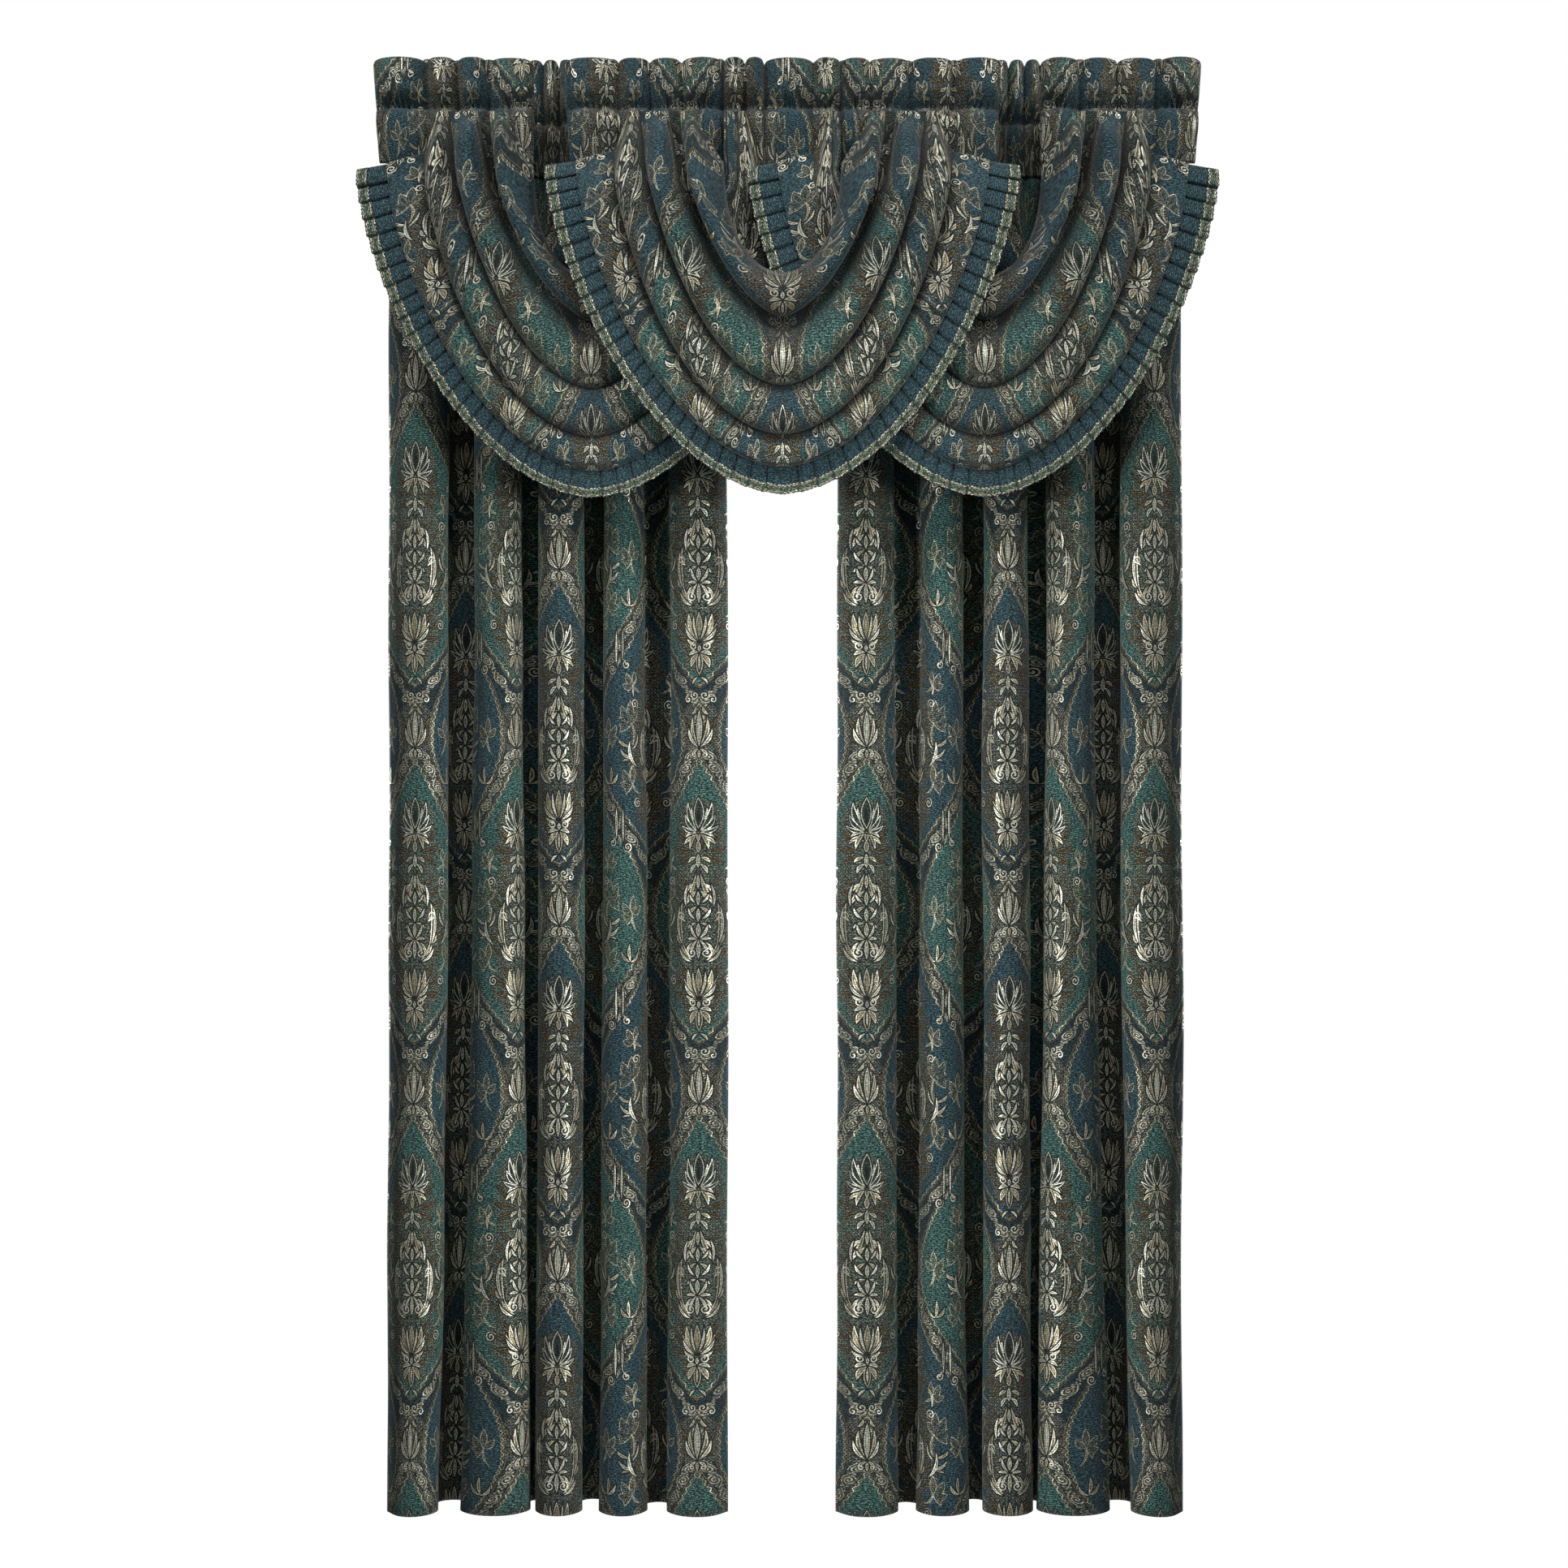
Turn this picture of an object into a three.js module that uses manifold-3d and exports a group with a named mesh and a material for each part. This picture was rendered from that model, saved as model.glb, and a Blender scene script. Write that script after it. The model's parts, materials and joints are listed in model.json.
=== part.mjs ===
// A pair of rod-pocket curtain panels with three swag valances layered over them.
// Millimetres, +Z up, the front of the cloth faces -Y. The origin is the middle of the
// front rod's line. The valances' pockets sit side by side on that line, and the panels
// hang from a second line behind it. Neither rod is part of the set.

import * as THREE from "three";
import { mergeVertices } from "three/addons/utils/BufferGeometryUtils.js";
import Module from "manifold-3d";

const wasm = await Module();
wasm.setup();

// ---------------------------------------------------------------- driving sizes

const CLOTH = 2; // thickness of the chenille jacquard
const TRIM_CLOTH = 1.5; // thickness of the pleated ruffle
const BRAID = 1; // thickness of the edging braid
const SEAM_GAP = 0.3; // between two pieces that are sewn together

// Heights above the rods' lines.
const HEADING_TOP = 84;
const STITCH = 14;
const POCKET_BOTTOM = -66;
const PANEL_HEM = -2051;

const BACK_ROD_Y = 80; // the panels' rod, behind the valances' rod

// The panels, as hung.
const PANEL_WIDTH = 502;
const PANELS = [
  { name: "panel_left", outerX: -587, innerward: 1, stretch: 1 },
  { name: "panel_right", outerX: 591, innerward: -1, stretch: 1.02 },
];
const FOLDS_START = -330; // the gathers have opened into the five folds here
const FOLDS_UPPER = -533; // the upper widths of the fold table hold down to here

// The five front folds of a panel. Each row gives where the fold begins and ends across
// the panel, measured from its outer edge, near the top and at the hem, how far its
// front stands behind the foremost fold, and how deep the valley after it tucks back.
const PANEL_FRONT_Y = 38;
const PANEL_FOLDS = [
  { fold: "outer", upFrom: 1, upTo: 94, hemFrom: 0, hemTo: 73, back: 0, tuck: 85 },
  { fold: "second", upFrom: 140, upTo: 202, hemFrom: 105, hemTo: 214, back: 5, tuck: 64 },
  { fold: "middle", upFrom: 226, upTo: 287, hemFrom: 219, hemTo: 287, back: 4, tuck: 92 },
  { fold: "fourth", upFrom: 321, upTo: 379, hemFrom: 311, hemTo: 383, back: 4, tuck: 64 },
  { fold: "inner", upFrom: 419, upTo: 501, hemFrom: 414, hemTo: 502, back: 0, tuck: 0 },
];
const FOLD_CORNER_BACK = 15; // how far a fold's side edges lie behind its front
const FOLD_FLAT = 0.28; // share of a fold's width that each rounded side takes
const VALLEY_UNDERCUT = 5; // how far a valley reaches in behind the folds beside it
const VALLEY_ROUND = 12; // how much the valley's sides lie before its bottom
const PANEL_TOP_GAP = 0.5; // between the pocket's seam and the cloth under it
const PANEL_TOP = POCKET_BOTTOM - PANEL_TOP_GAP;
const PANEL_LEVELS = [PANEL_TOP, -190, FOLDS_START, FOLDS_UPPER, -1290, PANEL_HEM];

// The pocket's section from its top to its seam: the half widths and heights of its
// outer and inner faces, and how far both draw in at a gather.
const POCKET_SECTION = [
  { outer: 9, outerZ: STITCH, inner: 7, innerZ: STITCH - CLOTH, dimple: 0 },
  { outer: 17, outerZ: 2, inner: 15, innerZ: 2, dimple: 2.5 },
  { outer: 14.5, outerZ: -18, inner: 12.5, innerZ: -18, dimple: 2.5 },
  { outer: 3, outerZ: POCKET_BOTTOM, inner: 2, innerZ: POCKET_BOTTOM + CLOTH, dimple: 0 },
];

// The heading over it, from the stitch line to its free edge: how far a gathered lobe
// stands forward at each height, and how far that height dips at a crease.
const HEADING_CLOTH = 3; // the heading's two layers pressed together
const HEADING_ROWS = [
  { z: STITCH - CLOTH / 2, bulge: 0, dip: 0 },
  { z: 46, bulge: 9, dip: 0 },
  { z: HEADING_TOP, bulge: 7, dip: 4 },
];

// The valances' header stretches along the front rod, with the width of each gathered
// lobe, from low X to high X. A lean draws an outer end in towards the pocket's seam.
const HEADER_STRETCHES = [
  { name: "valance_left_header_outer", from: -599, lobes: [78, 44, 46, 65], leanLow: 10, leanHigh: 0 },
  { name: "valance_centre_header_left", from: -320, lobes: [78, 46, 46, 61], leanLow: 8, leanHigh: 0 },
  { name: "valance_left_header_inner", from: -87, lobes: [30, 27], leanLow: 0, leanHigh: 0 },
  { name: "valance_right_header_inner", from: -28, lobes: [71, 39], leanLow: 0, leanHigh: 0 },
  { name: "valance_centre_header_right", from: 84, lobes: [43, 57, 64, 68.5], leanLow: 0, leanHigh: -8 },
  { name: "valance_right_header_outer", from: 375.5, lobes: [56, 54, 58, 65], leanLow: 0, leanHigh: -10 },
];
const PANEL_HEADER_LOBES = 4;

// The lines of a swag, from its neck to its hem. Each is a U hung between the two
// header stretches: half its width and its height at the ends, its lowest height, two
// exponents of its superellipse, and how far it stands forward at the sides and below.
const SWAG_LINES = [
  { line: "neck edge", reach: 84, top: -79, low: -236, square: 2.0, root: 0.46, side: 3, below: 6 },
  { line: "neck roll", reach: 136, top: 4, low: -250, square: 1.85, root: 0.66, side: 30, below: 30 },
  { line: "neck tuck", reach: 154, top: 4, low: -309, square: 1.58, root: 0.62, side: 4, below: 3 },
  { line: "second roll", reach: 182, top: 4, low: -354, square: 1.82, root: 0.7, side: 30, below: 30 },
  { line: "second tuck", reach: 208, top: 4, low: -396, square: 1.85, root: 0.68, side: 6, below: 8 },
  { line: "first roll", reach: 226, top: 4, low: -432, square: 1.9, root: 0.67, side: 26, below: 28 },
  { line: "first tuck", reach: 245, top: -58, low: -465, square: 1.87, root: 0.67, side: 3, below: 5 },
  { line: "low roll", reach: 264, top: -62, low: -491, square: 1.87, root: 0.67, side: 9, below: 22 },
  { line: "hem", reach: 298, top: -72, low: -518, square: 1.82, root: 0.67, side: 8, below: 10 },
];
const lineNamed = (name) => SWAG_LINES.find((row) => row.line === name);
const NECK_EDGE = lineNamed("neck edge");
const FIRST_ROLL = lineNamed("first roll");
const FIRST_TUCK = lineNamed("first tuck");
const HEM = lineNamed("hem");
const TRIM_EDGE = { ...HEM, line: "trim edge", reach: 342, top: -80, low: -556, side: 6, below: 8 };

// The three swags, from the rod outwards. The layer is how far the cloth lies before
// the rod's line on its low-X and high-X halves, and the relief is the share of the
// folds' height that is left where another swag presses on it. A squeeze is a header
// stretch that is narrower than the pleats below it, and its band drop is how much lower
// the flat outer band starts there, to pass under the neighbour's pocket.
const SWAGS = [
  {
    name: "valance_left",
    centreX: -278,
    layer: [22, 20],
    relief: [1, 0.15],
    squeeze: [null, { innerEnd: -86, outerEnd: -31, crowd: 4, bandDrop: 22 }],
  },
  {
    name: "valance_right",
    centreX: 288.5,
    layer: [40, 22],
    relief: [0.2, 1],
    squeeze: [{ innerEnd: 78, outerEnd: 41.5, crowd: 6, bandDrop: 0 }, null],
  },
  {
    name: "valance_centre",
    centreX: -2,
    layer: [59, 59],
    relief: [1, 1],
    squeeze: [null, null],
  },
];
const POCKET_FACE = 18.4; // where a swag's cloth leaves the pocket's front
const LAYER_START = -20; // above this height the cloth lies on the pocket
const LAYER_FULL = -130; // below this height it lies at its own layer
const PLEAT_OPENING = 70; // length over which a pleat swells from the stitching
const SQUEEZE_END = -86; // a squeezed side begins to spread here
const SPREAD_END = -165; // and has its own width again here
const SWAG_COLUMNS = 14; // the swag's grid, from one end to the other
const ROWS_PER_LINE = 2; // and from one line to the next

// The trim: a knife-pleated ruffle with a braid along its free edge.
const PLEATS = 30;
const PLEAT_STEP = 2.2; // from one pleat's front to the next one's back
const PLEAT_RISER = 1; // width of the step between two pleats
const RUFFLE_FROM = 0.01; // shares of the way from the hem to the trim's edge
const RUFFLE_TO = 0.98;
const BRAID_FROM = 0.63;
const PATH_SAMPLES = 400; // for measuring along the trim's curve

// ---------------------------------------------------------------- small helpers

const clamp = THREE.MathUtils.clamp;
const mix = THREE.MathUtils.lerp;
const ease = (value, start, end) => THREE.MathUtils.smoothstep((value - start) / (end - start), 0, 1);

// Two triangles for the four corners of a quad, in their order round it.
function addQuad(index, a, b, c, d) {
  index.push(a, b, c, a, c, d);
}

// A closed sheet: a grid of middle points, given half the thickness each way along the
// grid's own normals, with its four rims closed.
function sheetGeometry(columns, rows, pointAt, thickness) {
  const wide = columns + 1;
  const middle = [];
  for (let row = 0; row <= rows; row++) {
    for (let column = 0; column <= columns; column++) {
      middle.push(pointAt(column, row));
    }
  }
  const at = (column, row) => middle[clamp(row, 0, rows) * wide + clamp(column, 0, columns)];
  const positions = [];
  for (const side of [0.5, -0.5]) {
    for (let row = 0; row <= rows; row++) {
      for (let column = 0; column <= columns; column++) {
        const across = at(column + 1, row).clone().sub(at(column - 1, row));
        const down = at(column, row + 1).clone().sub(at(column, row - 1));
        const normal = down.cross(across).normalize();
        const point = at(column, row).clone().addScaledVector(normal, side * thickness);
        positions.push(point.x, point.y, point.z);
      }
    }
  }
  const layer = wide * (rows + 1);
  const front = (column, row) => row * wide + column;
  const back = (column, row) => layer + front(column, row);
  const index = [];
  for (let row = 0; row < rows; row++) {
    const below = row + 1;
    for (let column = 0; column < columns; column++) {
      const next = column + 1;
      addQuad(index, front(column, row), front(column, below), front(next, below), front(next, row));
      addQuad(index, back(column, row), back(next, row), back(next, below), back(column, below));
    }
    addQuad(index, front(0, row), back(0, row), back(0, below), front(0, below));
    addQuad(index, front(columns, row), front(columns, below), back(columns, below), back(columns, row));
  }
  for (let column = 0; column < columns; column++) {
    const next = column + 1;
    addQuad(index, front(column, 0), front(next, 0), back(next, 0), back(column, 0));
    addQuad(index, front(column, rows), back(column, rows), back(next, rows), front(next, rows));
  }
  return closedGeometry(positions, index);
}

// A tube with walls: an outer and an inner ring at each station, closed at both ends
// only between the rings, so that it stays open from end to end.
function pocketGeometry(stations, ringCount, outerAt, innerAt) {
  const positions = [];
  for (const ringAt of [outerAt, innerAt]) {
    for (let station = 0; station <= stations; station++) {
      for (let corner = 0; corner < ringCount; corner++) {
        positions.push(...ringAt(station, corner).toArray());
      }
    }
  }
  const layer = (stations + 1) * ringCount;
  const outer = (station, corner) => station * ringCount + (corner % ringCount);
  const inner = (station, corner) => layer + outer(station, corner);
  const index = [];
  for (let corner = 0; corner < ringCount; corner++) {
    const turn = corner + 1;
    for (let station = 0; station < stations; station++) {
      const next = station + 1;
      addQuad(index, outer(station, corner), outer(next, corner), outer(next, turn), outer(station, turn));
      addQuad(index, inner(station, corner), inner(station, turn), inner(next, turn), inner(next, corner));
    }
    const last = stations;
    addQuad(index, outer(0, corner), outer(0, turn), inner(0, turn), inner(0, corner));
    addQuad(index, outer(last, corner), inner(last, corner), inner(last, turn), outer(last, turn));
  }
  return closedGeometry(positions, index);
}

// A geometry from flat arrays, turned so that its faces point outwards.
function closedGeometry(positions, index) {
  const geometry = new THREE.BufferGeometry();
  geometry.setAttribute("position", new THREE.Float32BufferAttribute(positions, 3));
  geometry.setIndex(index);
  if (signedVolume(geometry) < 0) geometry.setIndex(index.reverse());
  return geometry;
}

// Positive where the faces point outwards.
function signedVolume(geometry) {
  const position = geometry.getAttribute("position");
  const corner = (i) => new THREE.Vector3().fromBufferAttribute(position, geometry.index.getX(i));
  let volume = 0;
  for (let i = 0; i < geometry.index.count; i += 3) {
    volume += corner(i).dot(corner(i + 1).cross(corner(i + 2))) / 6;
  }
  return volume;
}

function toSolid(geometry) {
  const merged = mergeVertices(geometry);
  return new wasm.Manifold(
    new wasm.Mesh({
      numProp: 3,
      vertProperties: merged.getAttribute("position").array,
      triVerts: new Uint32Array(merged.index.array),
    }),
  );
}

function toGeometry(solid) {
  const mesh = solid.getMesh();
  const geometry = new THREE.BufferGeometry();
  geometry.setAttribute("position", new THREE.BufferAttribute(mesh.vertProperties, 3));
  geometry.setIndex(new THREE.BufferAttribute(mesh.triVerts, 1));
  return geometry;
}

// ---------------------------------------------------------------- materials

const clothMaterial = new THREE.MeshStandardMaterial({ color: 0x3f6a66, roughness: 0.85, metalness: 0 });
const headerMaterial = new THREE.MeshStandardMaterial({ color: 0x375d60, roughness: 0.85, metalness: 0 });
const ruffleMaterial = new THREE.MeshStandardMaterial({ color: 0x24424f, roughness: 0.9, metalness: 0 });
const braidMaterial = new THREE.MeshStandardMaterial({ color: 0xa59a72, roughness: 0.7, metalness: 0 });

const set = new THREE.Group();

function addPiece(name, geometry, material) {
  const mesh = new THREE.Mesh(geometry, material);
  mesh.name = name;
  set.add(mesh);
}

// ---------------------------------------------------------------- headers

// A header is one strip: a rod pocket, open at both ends, under a gathered heading.
// Each station lies in a lobe, whose swell is 0 at the creases and 1 in its middle.
function headerGeometry(header) {
  const stations = [];
  let x = header.from;
  for (const width of header.lobes) {
    stations.push({ x, swell: 0 });
    stations.push({ x: x + width / 2, swell: 1 });
    x += width;
  }
  stations.push({ x, swell: 0 });
  const low = stations[0].x;
  const high = stations[stations.length - 1].x;
  const height = HEADING_TOP - POCKET_BOTTOM;
  const leanedX = (station, z) => {
    const share = (station.x - low) / (high - low);
    const lean = mix(header.leanLow, header.leanHigh, share);
    return station.x + (lean * (HEADING_TOP - z)) / height;
  };
  // The ring runs down the front of the section and up its back.
  const corners = 2 * POCKET_SECTION.length;
  const ringPoint = (face) => (stationIndex, corner) => {
    const station = stations[stationIndex];
    const front = corner < POCKET_SECTION.length;
    const row = POCKET_SECTION[front ? corner : corners - 1 - corner];
    const half = row[face] - row.dimple * (1 - station.swell);
    const z = row[face + "Z"];
    return new THREE.Vector3(leanedX(station, z), header.y + (front ? -half : half), z);
  };
  const pocket = pocketGeometry(stations.length - 1, corners, ringPoint("outer"), ringPoint("inner"));
  const headingPoint = (column, rowIndex) => {
    const station = stations[column];
    const row = HEADING_ROWS[rowIndex];
    const z = row.z - row.dip * (1 - station.swell);
    return new THREE.Vector3(leanedX(station, z), header.y - row.bulge * station.swell, z);
  };
  const heading = sheetGeometry(
    stations.length - 1,
    HEADING_ROWS.length - 1,
    headingPoint,
    HEADING_CLOTH,
  );
  return toGeometry(toSolid(pocket).add(toSolid(heading)));
}

for (const stretch of HEADER_STRETCHES) {
  addPiece(stretch.name, headerGeometry({ ...stretch, y: 0 }), headerMaterial);
}

// ---------------------------------------------------------------- panels

// The section of a panel at one level, as points from the outer edge to the inner
// edge: four for the rounded front of each fold and three for the valley after it.
function foldedSection(share) {
  const points = [];
  PANEL_FOLDS.forEach((fold, i) => {
    const from = mix(fold.upFrom, fold.hemFrom, share);
    const to = mix(fold.upTo, fold.hemTo, share);
    const round = (to - from) * FOLD_FLAT;
    const front = PANEL_FRONT_Y + fold.back;
    points.push({ across: from, y: front + FOLD_CORNER_BACK });
    points.push({ across: from + round, y: front });
    points.push({ across: to - round, y: front });
    points.push({ across: to, y: front + FOLD_CORNER_BACK });
    const next = PANEL_FOLDS[i + 1];
    if (!next) return;
    const nextFrom = mix(next.upFrom, next.hemFrom, share);
    const bottom = front + fold.tuck;
    points.push({ across: to - VALLEY_UNDERCUT, y: bottom - VALLEY_ROUND });
    points.push({ across: (to + nextFrom) / 2, y: bottom });
    points.push({ across: nextFrom + VALLEY_UNDERCUT, y: bottom - VALLEY_ROUND });
  });
  return points;
}

// How far along the cloth each point of a section lies, as a share of its length.
function clothShares(points) {
  const lengths = [0];
  for (let i = 1; i < points.length; i++) {
    const step = Math.hypot(points[i].across - points[i - 1].across, points[i].y - points[i - 1].y);
    lengths.push(lengths[i - 1] + step);
  }
  return lengths.map((length) => length / lengths[lengths.length - 1]);
}

const gatheredShares = clothShares(foldedSection(0));

function panelGeometry(panel) {
  const sections = PANEL_LEVELS.map((z) => {
    const share = clamp((FOLDS_UPPER - z) / (FOLDS_UPPER - PANEL_HEM), 0, 1);
    const opened = ease(z, PANEL_LEVELS[0], FOLDS_START);
    return foldedSection(share).map((point, i) => {
      const across = mix(gatheredShares[i] * PANEL_WIDTH, point.across, opened);
      const x = panel.outerX + panel.innerward * panel.stretch * across;
      return new THREE.Vector3(x, mix(BACK_ROD_Y, point.y, opened), z);
    });
  });
  const pointAt = (column, row) => sections[row][column];
  return sheetGeometry(gatheredShares.length - 1, sections.length - 1, pointAt, CLOTH);
}

for (const panel of PANELS) {
  const width = PANEL_WIDTH * panel.stretch;
  const from = panel.innerward > 0 ? panel.outerX : panel.outerX - width;
  const lobes = new Array(PANEL_HEADER_LOBES).fill(width / PANEL_HEADER_LOBES);
  const header = { from, lobes, leanLow: 0, leanHigh: 0, y: BACK_ROD_Y };
  addPiece(panel.name, panelGeometry(panel), clothMaterial);
  addPiece(panel.name + "_header", headerGeometry(header), headerMaterial);
}

// ---------------------------------------------------------------- swags

// A point on a swag. The angle runs from 0 at the low-X end to half a turn at the
// high-X end, and a line is a row of the table or a mix of two rows.
function swagPoint(swag, line, angle) {
  const lean = Math.cos(angle);
  const toHigh = (1 - lean) / 2; // 0 on the low-X side, 1 on the high-X side
  const squeeze = swag.squeeze[lean > 0 ? 0 : 1];
  const band = ease(line.reach, FIRST_ROLL.reach, FIRST_TUCK.reach);
  const top = line.top - (squeeze ? squeeze.bandDrop * band * Math.abs(lean) : 0);
  const hang = Math.pow(1 - Math.pow(Math.abs(lean), line.square), line.root);
  const z = mix(top, line.low, hang);
  let x = swag.centreX - lean * line.reach;
  if (squeeze) {
    const first = NECK_EDGE.reach;
    const last = FIRST_TUCK.reach;
    const crowded = Math.pow(clamp((line.reach - first) / (last - first), 0, 1), squeeze.crowd);
    const gathered = mix(squeeze.innerEnd, squeeze.outerEnd, crowded);
    const held = (1 - ease(z, SQUEEZE_END, SPREAD_END)) * (line.reach > last ? 0 : 1);
    x = mix(x, gathered, held);
  }
  const ownLayer = mix(swag.layer[0], swag.layer[1], toHigh);
  const layer = mix(POCKET_FACE, ownLayer, ease(z, LAYER_START, LAYER_FULL));
  const relief = mix(swag.relief[0], swag.relief[1], toHigh);
  const opened = ease(z, top, top - PLEAT_OPENING);
  const lift = mix(line.side, line.below, hang) * relief * opened;
  return new THREE.Vector3(x, -layer - lift, z);
}

// A line between two rows. What stands forward eases, so that rolls and tucks are round.
function lineBetween(first, second, share) {
  const eased = (1 - Math.cos(Math.PI * share)) / 2;
  return {
    reach: mix(first.reach, second.reach, share),
    top: mix(first.top, second.top, share),
    low: mix(first.low, second.low, share),
    square: mix(first.square, second.square, share),
    root: mix(first.root, second.root, share),
    side: mix(first.side, second.side, eased),
    below: mix(first.below, second.below, eased),
  };
}

function swagClothGeometry(swag) {
  const gaps = SWAG_LINES.length - 1;
  const pointAt = (column, row) => {
    const line = Math.min(Math.floor(row / ROWS_PER_LINE), gaps - 1);
    const between = lineBetween(SWAG_LINES[line], SWAG_LINES[line + 1], row / ROWS_PER_LINE - line);
    return swagPoint(swag, between, (Math.PI * column) / SWAG_COLUMNS);
  };
  return sheetGeometry(SWAG_COLUMNS, gaps * ROWS_PER_LINE, pointAt, CLOTH);
}

// Angles that lie at equal distances along the trim's outer edge.
function evenAngles(swag) {
  const lengths = [0];
  for (let i = 1; i <= PATH_SAMPLES; i++) {
    const here = swagPoint(swag, TRIM_EDGE, (Math.PI * i) / PATH_SAMPLES);
    const before = swagPoint(swag, TRIM_EDGE, (Math.PI * (i - 1)) / PATH_SAMPLES);
    lengths.push(lengths[i - 1] + here.distanceTo(before));
  }
  const total = lengths[PATH_SAMPLES];
  const angleAt = (share) => {
    const length = clamp(share, 0, 1) * total;
    const next = clamp(lengths.findIndex((known) => known >= length), 1, PATH_SAMPLES);
    const past = (length - lengths[next - 1]) / (lengths[next] - lengths[next - 1]);
    return (Math.PI * (next - 1 + past)) / PATH_SAMPLES;
  };
  return { total, angleAt };
}

// A point of the trim, a share of the way from the hem to the outer edge and set back
// from the cloth's middle by a depth.
function trimPoint(swag, angle, share, depth) {
  const inner = swagPoint(swag, HEM, angle);
  const outer = swagPoint(swag, TRIM_EDGE, angle);
  const point = inner.lerp(outer, share);
  point.y += depth;
  return point;
}

// The ruffle: each pleat runs back from its front edge, and a short riser brings the
// next one forward again.
function ruffleGeometry(swag) {
  const path = evenAngles(swag);
  const riser = PLEAT_RISER / path.total;
  const nearest = CLOTH / 2 + SEAM_GAP + TRIM_CLOTH / 2;
  const stations = [];
  for (let pleat = 0; pleat < PLEATS; pleat++) {
    stations.push({ share: pleat / PLEATS + riser / 2, depth: nearest });
    stations.push({ share: (pleat + 1) / PLEATS - riser / 2, depth: nearest + PLEAT_STEP });
  }
  const pointAt = (column, row) => {
    const station = stations[column];
    const share = row === 0 ? RUFFLE_FROM : RUFFLE_TO;
    return trimPoint(swag, path.angleAt(station.share), share, station.depth);
  };
  return sheetGeometry(stations.length - 1, 1, pointAt, TRIM_CLOTH);
}

// The braid, in front of the ruffle's outer part, with a section for each pleat.
function braidGeometry(swag) {
  const path = evenAngles(swag);
  const depth = CLOTH / 2 - BRAID / 2 - SEAM_GAP;
  const pointAt = (column, row) => {
    const share = row === 0 ? BRAID_FROM : 1;
    return trimPoint(swag, path.angleAt(column / PLEATS), share, depth);
  };
  return sheetGeometry(PLEATS, 1, pointAt, BRAID);
}

for (const swag of SWAGS) {
  addPiece(swag.name + "_swag", swagClothGeometry(swag), clothMaterial);
  addPiece(swag.name + "_ruffle", ruffleGeometry(swag), ruffleMaterial);
  addPiece(swag.name + "_braid", braidGeometry(swag), braidMaterial);
}

export default set;
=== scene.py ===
# %% [markdown]
# # Two jacquard panels under three swags
# The set hangs from a double rod that isn't part of it. Two panels with rod pockets hang
# from the back rod. Three waterfall swags share the front rod, and their gathered pockets
# sit side by side on it: each swag has two short pockets with its draped cloth between
# them. A swag ends in a knife-pleated ruffle with a braid along its free edge.
#
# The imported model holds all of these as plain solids. This file gives each one its cloth:
# fine closed sheets on the same lines, with folds, gathers, thread and woven figure.

import bpy
import json
import math
import numpy as np
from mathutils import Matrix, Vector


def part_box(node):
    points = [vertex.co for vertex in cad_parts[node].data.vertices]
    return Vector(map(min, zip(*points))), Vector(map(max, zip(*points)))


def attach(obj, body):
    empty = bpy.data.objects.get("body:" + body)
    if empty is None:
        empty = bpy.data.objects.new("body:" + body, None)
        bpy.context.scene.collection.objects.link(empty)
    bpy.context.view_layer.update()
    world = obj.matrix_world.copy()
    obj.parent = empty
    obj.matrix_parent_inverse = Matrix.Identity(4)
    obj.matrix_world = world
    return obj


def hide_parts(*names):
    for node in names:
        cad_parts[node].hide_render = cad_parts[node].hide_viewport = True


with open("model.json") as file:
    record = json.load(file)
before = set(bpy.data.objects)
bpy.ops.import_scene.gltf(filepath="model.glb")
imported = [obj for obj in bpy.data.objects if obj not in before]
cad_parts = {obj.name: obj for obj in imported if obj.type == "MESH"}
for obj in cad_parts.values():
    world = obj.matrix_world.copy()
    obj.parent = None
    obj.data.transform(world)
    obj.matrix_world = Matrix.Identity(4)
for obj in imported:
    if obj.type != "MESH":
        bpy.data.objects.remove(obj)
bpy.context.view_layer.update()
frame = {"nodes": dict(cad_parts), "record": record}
print("nodes:", sorted(frame["nodes"]))

# %% [markdown]
# ## Units and small helpers
# Lengths are in millimetres while a shape is worked out, and in metres once it is a mesh.
# `ease` is the smooth step that most transitions use. `waves` is a sum of a few sines with
# seeded directions: cheap, even ripples that come out the same in every run.

# %% Helpers
MM = 0.001  # metres in a millimetre


def span(node):
    """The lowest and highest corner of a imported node, in millimetres."""
    low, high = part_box(node)
    return np.array(low) / MM, np.array(high) / MM


def mix(a, b, share):
    """The point that lies a share of the way from a to b."""
    return a + (b - a) * share


def ease(value, start, end):
    """0 up to start, 1 from end on, and the smooth step 3t^2 - 2t^3 between them."""
    t = np.clip((value - start) / (end - start), 0, 1)
    return t * t * (3 - 2 * t)


def waves(a, b, lengths, seed):
    """A sum of sines over the plane (a, b), one for each wavelength, scaled to about 1.
    The direction and phase of each come from the seed."""
    random = np.random.default_rng(seed)
    total = np.zeros(np.broadcast(a, b).shape)
    for length in lengths:
        turn, phase = random.uniform(0, 2 * math.pi, 2)
        along = a * math.cos(turn) + b * math.sin(turn)
        total += np.sin(2 * math.pi * along / length + phase)
    return total / len(lengths)


def arc_lengths(points, axis):
    """How far each point of a grid lies along its line, measured along one grid axis."""
    steps = np.linalg.norm(np.diff(points, axis=axis), axis=-1)
    lengths = np.cumsum(steps, axis=axis)
    pad = [(0, 0)] * lengths.ndim
    pad[axis] = (1, 0)
    return np.pad(lengths, pad)


def grid_normals(points):
    """Unit normals of a grid of points: the cross product of its two directions."""
    down, across = np.gradient(points, axis=(0, 1))
    normals = np.cross(across, down)
    return normals / np.maximum(np.linalg.norm(normals, axis=-1, keepdims=True), 1e-9)


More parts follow.
